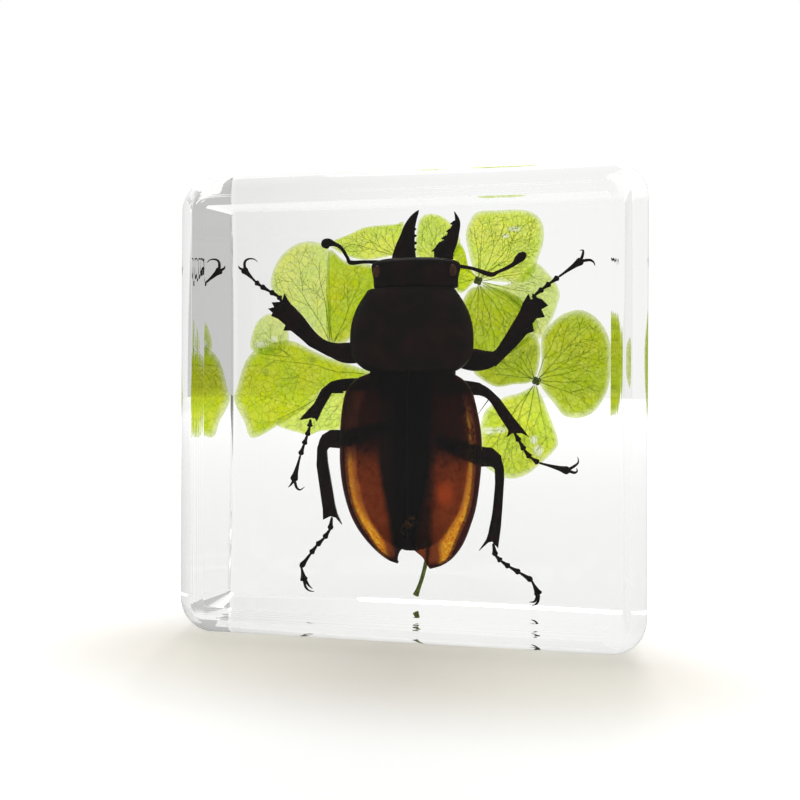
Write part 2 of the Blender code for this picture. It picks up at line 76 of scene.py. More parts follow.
# %% A smooth curve through stations
def cubic_through(stations, count, closed=False):
    """Rows on a curve through the stations, at even steps. Between two neighbours it is a cubic that leaves
    each station along the chord from the station before it to the one after it."""
    p = np.asarray(stations, float)
    if closed:
        p = np.vstack([p[-1:], p, p[:2]])
    else:
        p = np.vstack([2 * p[0] - p[1], p, 2 * p[-1] - p[-2]])
    spans = len(p) - 3
    t = np.linspace(0, spans, count, endpoint=not closed)
    i = np.minimum(t.astype(int), spans - 1)
    f = (t - i)[:, None]
    a, b, c, d = p[i], p[i + 1], p[i + 2], p[i + 3]
    chord, bend, twist = c - a, 2 * a - 5 * b + 4 * c - d, 3 * b - a - 3 * c + d
    return 0.5 * (2 * b + chord * f + bend * f ** 2 + twist * f ** 3)


def grid_quads(rows, columns):
    """Four corners of each cell between neighbouring rows and columns; the last column joins the first."""
    near = np.arange(rows - 1)[:, None] * columns
    far = near + columns
    here = np.arange(columns)[None, :]
    beside = (here + 1) % columns
    return np.stack([near + here, near + beside, far + beside, far + here], -1).reshape(-1, 4)


def closed_skin(rings):
    """A skin over rings of points (rows, columns, 3), with a flat face on the first and the last ring."""
    rows, columns = rings.shape[:2]
    first = np.arange(columns)[::-1].tolist()
    last = (np.arange(columns) + (rows - 1) * columns).tolist()
    return rings.reshape(-1, 3), grid_quads(rows, columns).tolist() + [first, last]


def joined(skins):
    """Several skins as one list of points and one of faces."""
    points, faces, start = [], [], 0
    for skin_points, skin_faces in skins:
        points.append(skin_points)
        faces += [[corner + start for corner in face] for face in skin_faces]
        start += len(skin_points)
    return np.concatenate(points), faces


print("a curve through 3 stations:", np.round(cubic_through([(0, 0), (1, 2), (3, 0)], 5), 2).tolist())

# %% [markdown]
# ## Putting a piece into the scene
# Every piece is one mesh at the origin whose points already lie where the piece is. It rides on the block's
# one body, takes its finish, and stands for the plain solid that held its place, which is hidden.
# Values that a pattern follows, such as the way across a wing case, are stored on the points as attributes.


# %% Make one piece
def put(name, skin, material, stands_for=(), values=None, sharp=40.0):
    """A mesh from points in millimetres and faces; edges over the angle stay sharp."""
    points, faces = skin
    mesh = bpy.data.meshes.new(name)
    mesh.from_pydata((points * MM).tolist(), [], faces)
    shape = bmesh.new()
    shape.from_mesh(mesh)
    bmesh.ops.recalc_face_normals(shape, faces=shape.faces)
    shape.to_mesh(mesh)
    shape.free()
    mesh.shade_smooth()
    mesh.set_sharp_from_angle(angle=math.radians(sharp))
    for key, numbers in (values or {}).items():
        layer = mesh.attributes.new(key, "FLOAT_VECTOR", "POINT")
        layer.data.foreach_set("vector", np.asarray(numbers, np.float32).reshape(-1))
    mesh.materials.append(material)
    piece = bpy.data.objects.new(name, mesh)
    bpy.context.scene.collection.objects.link(piece)
    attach(piece, "root")
    if stands_for:
        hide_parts(*stands_for)
    return piece


# %% [markdown]
# ## Colours and nodes
# Colours are written as they would be picked on a screen, and one function turns them into the linear values
# that the renderer counts with. One more function adds a node, sets it and wires it. The small ones after it
# add the nodes that come again and again, so that each finish below reads as a short list.


# %% Colour and node helpers
def linear(code):
    """A colour such as 'a0b1c2' in linear light, by the curve of screens: a low value is divided, a higher
    one goes through a power."""
    share = np.array([int(code[i:i + 2], 16) for i in (0, 2, 4)]) / 255
    low = share / 12.92
    high = ((share + 0.055) / 1.055) ** 2.4
    return (*np.where(share <= 0.04045, low, high).tolist(), 1.0)


def add(tree, kind, inputs=None, **settings):
    """A new node: settings are its own properties, inputs are values or the outputs of other nodes."""
    made = tree.nodes.new(kind)
    for key, value in settings.items():
        setattr(made, key, value)
    for key, value in (inputs or {}).items():
        if isinstance(value, bpy.types.NodeSocket):
            tree.links.new(value, made.inputs[key])
        else:
            made.inputs[key].default_value = value
    return made


def finish_named(name, **constants):
    """A Principled finish with constants on its own sockets; returns material, tree and shader."""
    material = bpy.data.materials.new(name)
    material.use_nodes = True
    shader = material.node_tree.nodes["Principled BSDF"]
    for key, value in constants.items():
        shader.inputs[key.replace("_", " ")].default_value = value
    return material, material.node_tree, shader


print("eye amber in linear light:", np.round(linear("a0552f"), 3))


# %% Helpers for values and colours
def mix(tree, factor, first, second, blend="MIX"):
    """Two colours mixed by a factor."""
    inputs = {0: factor, 6: first, 7: second}
    return add(tree, "ShaderNodeMix", inputs, data_type="RGBA", blend_type=blend).outputs[2]


def band(tree, value, low, high, start=0.0, end=1.0):
    """A value's way from low to high as an even step from start to end."""
    inputs = {"Value": value, "From Min": low, "From Max": high, "To Min": start, "To Max": end}
    return add(tree, "ShaderNodeMapRange", inputs, interpolation_type="SMOOTHSTEP").outputs[0]


def arithmetic(operation):
    """A helper that adds the node of one operation on two values; ABSOLUTE drops the sign of the first."""
    def result(tree, first, second=0.0):
        return add(tree, "ShaderNodeMath", {0: first, 1: second}, operation=operation).outputs[0]
    return result


times, plus, minus = (arithmetic(operation) for operation in ("MULTIPLY", "ADD", "SUBTRACT"))
larger, without_sign = (arithmetic(operation) for operation in ("MAXIMUM", "ABSOLUTE"))


def grey_of(tree, value):
    """A value as a grey colour."""
    return add(tree, "ShaderNodeCombineColor", {0: value, 1: value, 2: value}).outputs[0]


def bumps(tree, shader, height, strength, deep, **settings):
    """Relief in the finish, as deep as so many millimetres."""
    inputs = {"Height": height, "Strength": strength, "Distance": deep * MM}
    tree.links.new(add(tree, "ShaderNodeBump", inputs, **settings).outputs[0], shader.inputs["Normal"])


print("helpers for values and colours are ready")


# %% Helpers for places and patterns
def millimetres(tree):
    """Object coordinates in millimetres."""
    place = add(tree, "ShaderNodeTexCoord").outputs["Object"]
    return add(tree, "ShaderNodeMapping", {"Vector": place, "Scale": (1 / MM,) * 3}).outputs[0]


def numbers_of(tree, vector):
    """The three numbers of a place, a direction or a colour."""
    return add(tree, "ShaderNodeSeparateXYZ", {0: vector}).outputs


def stored(tree, name):
    """The three numbers that are stored on the points under a name."""
    return numbers_of(tree, add(tree, "ShaderNodeAttribute", attribute_name=name).outputs["Vector"])


def clouds(tree, place, scale, detail, **more):
    """Soft random clouds, scale of them to a millimetre."""
    inputs = {"Vector": place, "Scale": scale, "Detail": detail, **more}
    return add(tree, "ShaderNodeTexNoise", inputs).outputs


def cells(tree, place, size, output, **settings):
    """Random cells of a size in millimetres: each one's colour, or the distance to its middle or edge."""
    return add(tree, "ShaderNodeTexVoronoi", {"Vector": place, "Scale": 1 / size}, **settings).outputs[output]


def from_oval(tree, place, centre, size, turn=0.0):
    """The distance from an oval's centre, as a share of its size; turn leans it, in degrees round Y."""
    away = add(tree, "ShaderNodeVectorMath", {0: place, 1: centre}, operation="SUBTRACT").outputs[0]
    if turn:
        inputs = {"Vector": away, "Rotation": (0, math.radians(turn), 0)}
        away = add(tree, "ShaderNodeMapping", inputs).outputs[0]
    share = add(tree, "ShaderNodeVectorMath", {0: away, 1: size}, operation="DIVIDE").outputs[0]
    return add(tree, "ShaderNodeVectorMath", {0: share}, operation="LENGTH").outputs["Value"]


print("helpers for places and patterns are ready")

# %% [markdown]
# ## The camera
# The photograph was taken from close by, a little to the right of the block's middle and at half its height,
# with the lens turned a few degrees to the left. A near camera shows how the front face bends the view of
# what is inside, so its distance matters as much as its direction.

# %% Camera
CAMERA_AT = (6.37, -41.5, 20.57)
CAMERA_YAW, CAMERA_PITCH, CAMERA_ROLL = 5.49, -0.03, 0.255
LENS, SENSOR = 20.3, 36.0
PICTURE_SHIFT = (-0.0478, -0.015)

camera_data = bpy.data.cameras.new("camera")
camera_data.sensor_width = SENSOR
camera_data.lens = LENS
camera_data.shift_x, camera_data.shift_y = PICTURE_SHIFT
camera_data.clip_start = 1 * MM
camera = bpy.data.objects.new("camera", camera_data)
camera.location = np.array(CAMERA_AT) * MM
turns = [Matrix.Rotation(math.radians(angle), 3, axis)
         for angle, axis in ((CAMERA_YAW, "Z"), (90 + CAMERA_PITCH, "X"), (CAMERA_ROLL, "Z"))]
camera.rotation_euler = (turns[0] @ turns[1] @ turns[2]).to_euler()
bpy.context.scene.collection.objects.link(camera)
bpy.context.scene.camera = camera
print("camera", CAMERA_AT, "mm, lens", LENS, "mm")

# %% [markdown]
# ## The clear block
# The casting is one piece of resin with a polished flat front. Its edge was worked by hand, so no two sides
# are alike: each leaves the flat at its own slope, grows steeper in its own way and turns down into the wall.
# On the left and at the bottom the slope keeps fine ridges, on the right and at the top it is nearly smooth.
# The side walls draw in slightly towards the back, where the corners are nearly sharp. It could be a cube
# with a bevel, but each ridge squeezes the view of the petals into a streak and the walls mirror them, so
# every ring of points is computed.

# %% Clear block: outline and profile
EDGE_SIDES = (
    # left, right, bottom, top: first how many degrees the ridges tilt the slope to and fro, then points of
    # the profile from the flat front out to the wall: the distance to the wall, and the slope in degrees
    (9.0, ((3.35, 8), (2.21, 11), (2.08, 30), (1.4, 36), (0.7, 40), (0.33, 48), (0.14, 66), (0.05, 78),
           (0.0, 86))),
    (2.5, ((3.25, 22), (2.6, 24), (2.56, 17), (2.3, 16), (2.2, 9), (1.7, 11), (1.6, 19), (1.4, 22),
           (1.05, 26), (0.75, 29), (0.5, 32), (0.3, 42), (0.14, 62), (0.05, 78), (0.0, 86))),
    (9.0, ((3.05, 8), (2.01, 11), (1.89, 25), (1.52, 29), (0.92, 37), (0.41, 50), (0.18, 66), (0.07, 78),
           (0.0, 86))),
    (2.0, ((3.0, 8), (2.7, 14), (2.0, 20), (1.0, 30), (0.5, 33), (0.3, 42), (0.14, 62), (0.05, 78),
           (0.0, 86))),
)
RIDGES = 6.5                            # ridges on the slope next to the flat front
RIDGED_TO = 0.66                        # they end at this share of the edge's width, counted from the wall
FLAT_CORNER = 0.4                       # corner radius of the flat front
FRONT_CORNER, BACK_CORNER = 2.9, 0.45   # corner radius of the walls, at the front and at the back
SIDE_DRAFTS = (0.57, 0.45)              # how far the left and the right wall draw in towards the back
BACK_INSET, BACK_DEPTH = 0.34, 0.1      # the broken edge round the back face
BACK_FACE_CORNER = 0.15                 # corner radius of the back face inside it
CORNER_STEPS, WALL_STEPS = 16, 12
RIDGE_STEPS, EDGE_STEPS = 120, 44       # points of a profile on the ridged slope, and from there to the wall
CROWDING = 1.5                          # the power by which the latter lie closer together near the wall
LEAST_STEP = 0.0012                     # rings that would lie nearer in depth to the one before are left out
SUPPORT = 0.06                          # an extra point or ring this far inside keeps a flat face flat


def block_ring(y, insets, radius):
    """A rounded rectangle at depth y between four insets: quarter circles, each between support points."""
    left, right, bottom, top = insets
    turn = np.linspace(0, math.pi / 2, CORNER_STEPS + 1)
    arc = np.stack([radius * np.cos(turn), radius * np.sin(turn)], 1)
    arc = np.vstack([arc[0] - (0, SUPPORT), arc, arc[-1] - (SUPPORT, 0)])
    east, west = HIGH[0] - right - radius, LOW[0] + left + radius
    high, low = BLOCK_HEIGHT - top - radius, bottom + radius
    corners = []
    for quarter, (x, z) in enumerate(((east, high), (west, high), (west, low), (east, low))):
        c, s = ((1, 0), (0, 1), (-1, 0), (0, -1))[quarter]
        corners.append(np.stack([x + c * arc[:, 0] - s * arc[:, 1], z + s * arc[:, 0] + c * arc[:, 1]], 1))
    flat = np.concatenate(corners)
    return np.stack([flat[:, 0], np.full(len(flat), y), flat[:, 1]], 1)


def edge_profile(ridge_tilt, points):
    """Distances to the wall and the depth at each: the sum of the slopes so far. On the inner part the
    slope's angle swings by a sine for the ridges."""
    known, tilts = np.array(points)[::-1].T
    shares = np.concatenate([
        np.linspace(1, RIDGED_TO, RIDGE_STEPS)[:-1], RIDGED_TO * np.linspace(1, 0, EDGE_STEPS) ** CROWDING])
    inset = known[-1] * shares
    way = np.clip((1 - shares) / (1 - RIDGED_TO), 0, 1)
    ridge = np.sin(2 * math.pi * RIDGES * way) * (way < 1)
    tilt = np.interp(inset, known, tilts) + ridge_tilt * ridge
    slope = np.tan(np.radians(tilt))
    steps = -np.diff(inset) * (slope[1:] + slope[:-1]) / 2
    return inset, np.concatenate([[0], np.cumsum(steps)])


def block_rings():
    """Each ring of the edge has one depth, and each side's profile gives its distance to the wall there.
    Behind the edge the side walls draw in and the corners sharpen evenly to the back, where a shallow slope
    breaks the edge."""
    sides = [edge_profile(ridge_tilt, points) for ridge_tilt, points in EDGE_SIDES]
    levels = np.unique(np.concatenate([depth for inset, depth in sides]))
    levels = levels[np.diff(levels, prepend=-1) > LEAST_STEP]
    insets = np.stack([np.interp(levels, depth, inset) for inset, depth in sides], axis=1)
    rings = [block_ring(FRONT_Y, insets[0] + SUPPORT, FLAT_CORNER)]
    for level, inset in zip(levels, insets):
        radius = FRONT_CORNER + (FLAT_CORNER - FRONT_CORNER) * (inset / insets[0]).mean()
        rings.append(block_ring(FRONT_Y + level, inset, radius))
    wall_front, wall_back = FRONT_Y + levels[-1], BACK_Y - BACK_DEPTH
    drafts = np.array(SIDE_DRAFTS)
    for share in np.linspace(0, 1, WALL_STEPS + 1)[1:]:
        radius = FRONT_CORNER + (BACK_CORNER - FRONT_CORNER) * share
        depth = wall_front + (wall_back - wall_front) * share
        rings.append(block_ring(depth, (*drafts * share, 0, 0), radius))
    last = np.array((*drafts, 0, 0)) + BACK_INSET
    rings += [block_ring(BACK_Y, last + inwards, BACK_FACE_CORNER) for inwards in (0, SUPPORT)]
    return np.stack(rings)


print("edge depths, mm:", [round(float(edge_profile(*side)[1][-1]), 2) for side in EDGE_SIDES])

# %% [markdown]
# Cast resin is an acrylic or polyester glass: no colour of its own, an index near 1.5 and a faint warm-green
# loss over a long way, which the eye sees only where the walls send the light round several times.

# %% Clear block: finish and piece
RESIN_INDEX = 1.5
LOSS_COLOUR = (0.80, 0.87, 0.72, 1.0)
LOSS_PER_METRE = 6.0

resin, tree, shader = finish_named("clear cast resin, polished", Base_Color=(1, 1, 1, 1), Roughness=0.0,
                                   IOR=RESIN_INDEX, Transmission_Weight=1.0)
loss = add(tree, "ShaderNodeVolumeAbsorption", {"Color": LOSS_COLOUR, "Density": LOSS_PER_METRE})
tree.links.new(loss.outputs[0], tree.nodes["Material Output"].inputs["Volume"])
rings = block_rings()
put("resin_block", closed_skin(rings), resin, ("resin_front", "resin_back"), sharp=20.0)
print("the block has", len(rings), "rings of", rings.shape[1], "points")

# %% [markdown]
# ## Chitin
# A beetle's shell is chitin, hardened and darkened from within. In air it shines, but resin has nearly the
# same index, so a cast beetle loses its gloss and reads as deep brown-black. Fine pits 0.1 mm apart cover it.

# %% Shell finish
PIT_SPACING = 0.11          # millimetres between the pits, drawn a little coarser than real so that they show

shell, tree, shader = finish_named(
    "black-brown chitin, pitted", Roughness=0.42, IOR=1.5, Specular_IOR_Level=0.06)
place = millimetres(tree)
cloud = clouds(tree, place, 0.5, 4.0)[0]
pits = cells(tree, place, PIT_SPACING, "Distance")
colour = mix(tree, band(tree, cloud, 0.35, 0.7), linear("1d100d"), linear("301a14"))
tree.links.new(colour, shader.inputs["Base Color"])
tree.links.new(band(tree, cloud, 0.3, 0.7, 0.36, 0.5), shader.inputs["Roughness"])
bumps(tree, shader, band(tree, pits, 0.0, 0.35), 0.005, 0.02)
print("pits every", PIT_SPACING, "mm")

# %% [markdown]
# ## Body skins
# The neck shield, the head and the plates of the underside are closed skins over cross-sections: a high arch
# to the front, a shallow one to the back. Their stations are a height with the half width and the arch there.

# %% Body skin
BODY_X = 0.05               # the body's middle line
BODY_EDGE_Y = 2.1           # depth of the shells' side edges
BODY_COLUMNS = 96
ARCH_POWER = 0.8            # one is an oval arch, and less makes its sides fuller
END_LEAST = 0.05            # the share of its size that a skin keeps at its two ends
END_WIDTH = 0.55            # the body's skins keep more of their width there


def end_rounding(rows, share):
    """Factors that rise to one over a share of the way from either end, as a quarter circle does."""
    way = np.linspace(0, 1, rows)
    near = np.clip(np.minimum(way, 1 - way) / share, 0, 1)
    return np.maximum(np.sqrt(1 - (1 - near) ** 2), END_LEAST)


def bell(value, centre, width):
    """One at the centre, about a third at a width from it and nothing far away: a bell curve."""
    return np.exp(-((value - centre) / width) ** 2)


def body_rings(stations, middle, edge_y, belly, rows=64, rounding=0.08):
    """x is the middle minus half the width times the cosine; y is the edge minus the arch times a power of
    the sine to the front, and the edge plus the belly times the sine to the back."""
    z, half, dome = cubic_through(stations, rows).T[:, :, None]
    angle = np.linspace(0, 2 * math.pi, BODY_COLUMNS, endpoint=False)[None, :]
    ends = end_rounding(rows, rounding)[:, None]
    sine = np.sin(angle)
    front = dome * np.maximum(sine, 0) ** ARCH_POWER
    back = belly * np.maximum(-sine, 0)
    x = middle - half * np.cos(angle) * (END_WIDTH + (1 - END_WIDTH) * ends)
    y = edge_y - front * ends + back * ends
    return np.stack([x, y, np.broadcast_to(z, x.shape)], -1)


print("a bell curve at 0, 1 and 2 widths:", np.round(bell(np.arange(3.0), 0.0, 1.0), 2).tolist())

# %% Neck shield
PRONOTUM = (
    (21.85, 2.6, 1.9), (22.05, 3.9, 2.2), (22.5, 4.7, 2.5), (23.2, 5.3, 2.8), (24.2, 5.58, 3.0),
    (25.8, 5.55, 3.0), (27.0, 5.28, 2.9), (28.0, 4.85, 2.7), (28.8, 4.35, 2.35), (29.25, 4.05, 2.0),
    (29.55, 3.85, 1.8),
)
PRONOTUM_BELLY = 0.3
MARGIN_FURROW = (0.07, 0.95, 0.02)      # its depth, then its place and its width as shares of half the shield


def with_margin(rings):
    """A shallow furrow just inside the side edges, which leaves a raised bead along them."""
    depth, place, width = MARGIN_FURROW
    from_middle = np.abs(rings[..., 0] - BODY_X)
    across = from_middle / from_middle.max(axis=1, keepdims=True)
    rings[..., 1] += depth * bell(across, place, width)
    return rings


shield = with_margin(body_rings(PRONOTUM, BODY_X, BODY_EDGE_Y, PRONOTUM_BELLY))
put("pronotum_shell", closed_skin(shield), shell, ("pronotum",))
print("neck shield", round(float(np.ptp(shield[..., 0])), 2), "mm wide")

# %% Head and eyes
HEAD_X = 0.42               # the head is turned a little, so its middle lies beside the body's
HEAD_BELLY = 1.0
HEAD = (
    (29.3, 3.8, 1.6), (29.8, 3.82, 1.8), (30.4, 3.85, 1.9), (30.9, 3.95, 1.95), (31.35, 4.02, 1.85),
    (31.7, 3.95, 1.7), (31.95, 3.5, 1.45), (32.2, 2.8, 1.1),
)
EYE_OUT, EYE_Z, EYE_FRONT = 3.35, 30.9, 1.0
EYE_SIZE = (0.36, 0.3, 0.55)
POLE_GAP = 0.02             # a ball's first and last ring stop so many radians before its poles


def ball(centre, radii, rows=24, columns=32):
    """A ball stretched to three radii: the sine and cosine of height and turn, times each radius."""
    highest = math.pi / 2 - POLE_GAP
    height = np.linspace(-highest, highest, rows)[:, None]
    turn = np.linspace(0, 2 * math.pi, columns, endpoint=False)[None, :]
    flat = np.cos(height)
    unit = np.stack([flat * np.cos(turn), flat * np.sin(turn), np.sin(height) * np.ones_like(turn)], -1)
    return closed_skin(np.array(centre) + unit * np.array(radii))


head_rings = body_rings(HEAD, HEAD_X, BODY_EDGE_Y, HEAD_BELLY, rows=56, rounding=0.1)
put("head_shell", closed_skin(head_rings), shell, ("head",))
print("head", round(float(np.ptp(head_rings[..., 0])), 2), "mm wide")

# %% [markdown]
# A stag beetle's eyes are amber-brown facets at the sides of the head, the only warm spots on it.

# %% Eye finish and pieces
FACET = 0.05                # millimetres across one facet, drawn coarser than real

eye, tree, shader = finish_named("amber faceted eye", Roughness=0.25, IOR=1.5, Specular_IOR_Level=0.4)
facets = cells(tree, millimetres(tree), FACET, "Distance")
colour = mix(tree, band(tree, facets, 0.1, 0.6), linear("a0552f"), linear("5a2a1a"))
tree.links.new(colour, shader.inputs["Base Color"])
bumps(tree, shader, facets, 0.4, 0.01, invert=True)
for side_name, side in (("left", -1), ("right", 1)):
    put(f"eye_{side_name}", ball((HEAD_X + side * EYE_OUT, EYE_FRONT, EYE_Z), EYE_SIZE), eye)
print("eyes", EYE_SIZE, "mm in radius")

# %% [markdown]
# ## The underside
# Below the wing cases lie the plates of the chest and the rings of the belly. They are hidden from the front,
# but they show from behind between the legs, and light comes through the belly's thin sides. One skin over
# sections is enough, with a furrow between each pair of rings.

# %% Underside finish
belly_finish, tree, shader = finish_named(
    "brown belly chitin, thin at the sides", Roughness=0.5, IOR=1.05, Transmission_Weight=0.8)
across, along = stored(tree, "way")[:2]
grain = clouds(tree, millimetres(tree), 1.4, 6.0)[0]
edge = plus(tree, across, times(tree, grain, 0.25))
thin = times(tree, band(tree, edge, 0.38, 0.62), band(tree, along, 0.72, 0.5))
colour = mix(tree, thin, linear("140e0e"), linear("dcb496"))
tree.links.new(colour, shader.inputs["Base Color"])
print("the belly's thin sides let light through, its middle and the chest don't")

# %% Underside piece
UNDERSIDE_Y = 3.05
UNDERSIDE_BELLY = 0.75
UNDERSIDE = (
    (5.7, 0.8, 0.3), (6.4, 2.2, 0.5), (7.4, 3.2, 0.7), (10.0, 4.5, 0.8), (14.0, 5.2, 0.85),
    (18.5, 4.9, 0.85), (21.4, 4.0, 0.8), (24.5, 4.1, 0.8), (27.3, 3.6, 0.7), (28.9, 2.4, 0.5),
)
BELLY_FURROWS = (7.6, 9.3, 11.1, 13.0, 14.9, 17.6, 21.8, 25.2)      # heights of the joints between the plates
FURROW_DEPTH, FURROW_WIDTH = 0.16, 0.16


def furrowed(rings):
    """The back of each ring drawn in near the furrows, by a bell curve of the distance."""
    furrow = bell(rings[..., 2:3], np.array(BELLY_FURROWS), FURROW_WIDTH).max(axis=-1)
    rings[..., 1] -= FURROW_DEPTH * furrow * (rings[..., 1] > UNDERSIDE_Y)
    return rings


underside = furrowed(body_rings(UNDERSIDE, BODY_X, UNDERSIDE_Y, UNDERSIDE_BELLY, rows=160))
low_z, high_z = UNDERSIDE[0][0], UNDERSIDE[-1][0]
widest = max(half for z, half, dome in UNDERSIDE)
out_share = np.abs(underside[..., 0] - BODY_X) / widest
up_share = (underside[..., 2] - low_z) / (high_z - low_z)
ways = np.stack([out_share, up_share, 0 * up_share], -1)
put("underside_plates", closed_skin(underside), belly_finish, ("underside",), {"way": ways})
print("underside with", len(BELLY_FURROWS), "furrows")

# %% [markdown]
# ## Wing cases
# The two wing cases meet in a seam and gape at the tip. Each is a thin arched wall. In resin they are
# see-through: a dark rim, a granular golden band along the outer margin and red-brown towards the seam. Light
# from behind makes these colours, so the finish is a tinted rough glass whose index is only a little above
# the resin's.

# %% Wing case shape
CASE_WALL = 0.3
CASES = {
    "left": (-1, (
        (4.95, 1.02, 1.3, 0.9), (5.15, 1.0, 2.0, 1.15), (5.6, 0.96, 2.7, 1.5), (6.2, 0.75, 3.4, 1.85),
        (7.0, 0.2, 4.15, 2.25), (8.1, 0.06, 4.95, 2.55), (9.5, 0.05, 5.62, 2.8), (11.6, 0.05, 6.2, 3.05),
        (13.9, 0.05, 6.47, 3.2), (17.0, 0.05, 6.45, 3.2), (19.3, 0.05, 6.2, 3.05), (20.6, 0.05, 5.75, 2.8),
        (21.4, 0.05, 4.9, 2.4), (21.95, 0.05, 3.6, 2.0))),
    "right": (1, (
        (4.6, 1.85, 2.2, 0.9), (4.8, 1.75, 2.9, 1.15), (5.2, 1.55, 3.55, 1.5), (5.8, 1.25, 4.15, 1.8),
        (6.8, 0.3, 4.8, 2.2), (8.3, 0.06, 5.4, 2.6), (10.3, 0.05, 5.95, 2.9), (13.6, 0.05, 6.33, 3.2),
        (16.4, 0.05, 6.32, 3.2), (19.0, 0.05, 5.85, 3.1), (20.4, 0.05, 5.4, 2.8), (21.3, 0.05, 4.7, 2.4),
        (21.95, 0.05, 3.6, 2.0))),
}
CASE_ROWS, CASE_COLUMNS = 150, 44
STRIPES, STRIPE_DEPTH = 9, 0.012        # faint lengthwise furrows on each case
BEADS = (0.07, 0.965, 0.025), (0.05, 0.02, 0.02)    # margin, seam: height, then place and width as shares


def case_skin(side, stations):
    """Across the case an angle runs from seam to margin: x grows with its sine and the arch falls with a
    power of its cosine. Furrows are a cosine of the way across; beads stand at seam and margin."""
    z, inner, outer, dome = cubic_through(stations, CASE_ROWS).T[:, :, None]
    share = np.linspace(0, 1, CASE_COLUMNS)[None, :]
    angle = share * math.pi / 2

    def face(below):
        """The outer face of the case, or one that lies so far below it."""
        x = BODY_X + side * (inner + (outer - inner - below) * np.sin(angle))
        y = BODY_EDGE_Y - (dome - below) * np.cos(angle) ** ARCH_POWER
        return np.stack([x, y, z + 0 * x], -1)

    outside, inside = face(0.0), face(CASE_WALL)
    furrow = STRIPE_DEPTH * np.cos(2 * math.pi * STRIPES * share) * np.sin(math.pi * share)
    outside[..., 1] += furrow - sum(height * bell(share, place, width) for height, place, width in BEADS)
    along = np.linspace(0, 1, CASE_ROWS)[:, None] + 0 * share
    way = np.stack([share + 0 * along, along, 0 * along], -1)
    loop = np.concatenate([outside, inside[:, ::-1]], axis=1)
    return closed_skin(loop), np.concatenate([way, way[:, ::-1]], axis=1)


print("wing cases", CASE_WALL, "mm thick, with", STRIPES, "furrows each")

# %% [markdown]
# The ground of the finish is red-brown in soft clouds and grains. It is darker in spots and at the tips, and
# nearly black in the upper half. A small warm patch lies on the right case. The limits below are heights in
# millimetres.

# %% Wing case finish: the ground
GRAIN = 0.2                 # millimetres across the grains
WARM_PATCH = (3.3, 0.0, 11.4), (0.75, 9.0, 1.0)     # centre and size, deep enough to reach the whole case

case_finish, tree, shader = finish_named(
    "red-brown wing case, see-through", Roughness=0.35, IOR=1.06, Transmission_Weight=0.9)
place = millimetres(tree)
here_x, _, height = numbers_of(tree, place)
across, along = stored(tree, "way")[:2]
cloud = clouds(tree, place, 0.7, 5.0, Roughness=0.6)[0]
mottle = clouds(tree, place, 1.9, 3.0)[0]
grain = numbers_of(tree, cells(tree, place, GRAIN, "Color"))[0]
brown = mix(tree, band(tree, cloud, 0.3, 0.7), linear("8e4016"), linear("b06028"))
dark_spots = times(tree, times(tree, band(tree, mottle, 0.48, 0.7), 0.75), band(tree, height, 11.0, 13.5))
brown = mix(tree, dark_spots, brown, linear("4a1c10"))
brown = mix(tree, band(tree, height, 9.5, 6.0), brown, linear("7a3a1a"))
brown = mix(tree, times(tree, grain, 0.35), brown, linear("5c2610"))
upper = band(tree, plus(tree, height, times(tree, cloud, 3.0)), 14.4, 17.4)
brown = mix(tree, times(tree, upper, 0.97), brown, linear("2a110d"))
warm = band(tree, from_oval(tree, place, *WARM_PATCH), 1.5, 0.3)
brown = mix(tree, times(tree, warm, 0.8), brown, linear("dc6a2c"))
print("the brown ground has grains of", GRAIN, "mm")

# %% [markdown]
# A golden band runs along the outer margin, between two limits that are shares of the way across. Both limits
# lie nearer to the seam towards the tip. The band is strongest below, fades at half the case's height and
# comes back faintly and in spots on the right. Beyond it the rim is dark.

# %% Wing case finish: the golden band
INNER_LIMIT, OUTER_LIMIT = (0.36, 0.59), (0.61, 0.71)       # at the tip, and from 11 mm upwards

gold = mix(tree, grain, linear("ffc834"), linear("c0540a"))
margin = plus(tree, across, band(tree, here_x, 1.0, -1.0, 0.0, 0.05))
ragged = plus(tree, margin, times(tree, grain, 0.05))
inner_limit = band(tree, height, 6.5, 11.0, *INNER_LIMIT)
golden = band(tree, minus(tree, ragged, inner_limit), 0.0, 0.1)
faint = times(tree, band(tree, height, 19.8, 17.5), band(tree, here_x, 1.0, 3.0, 0.0, 0.3))
faint = times(tree, faint, band(tree, mottle, 0.4, 0.55))
strong = times(tree, band(tree, height, 15.2, 13.4), band(tree, height, 13.5, 8.5, 0.45, 1.0))
golden = times(tree, golden, larger(tree, strong, faint))
colour = mix(tree, golden, brown, gold)
outer_limit = band(tree, height, 6.5, 11.0, *OUTER_LIMIT)
rim = band(tree, minus(tree, margin, outer_limit), 0.0, 0.05)
rim = larger(tree, rim, band(tree, along, 0.24, 0.12))
colour = mix(tree, rim, colour, linear("3a130e"))
print("the golden band begins", INNER_LIMIT, "of the way across, at the tip and further up")

# %% [markdown]
# A dark band on both sides of the seam, wider further up, is painted shade: the dark body behind the cases,
# drawn onto them where it shows through. Near the tip a few bright crumbs lie on it in a slanting patch.

# %% Wing case finish: the painted shade of the body at the seam, and both pieces
PAINTED_BODY_SHADE_X = -0.25        # middle of the dark band, in millimetres
CRUMBS = (0.1, 0.0, 8.7), (0.45, 9.0, 1.1), -35.0   # centre, size and lean of the patch
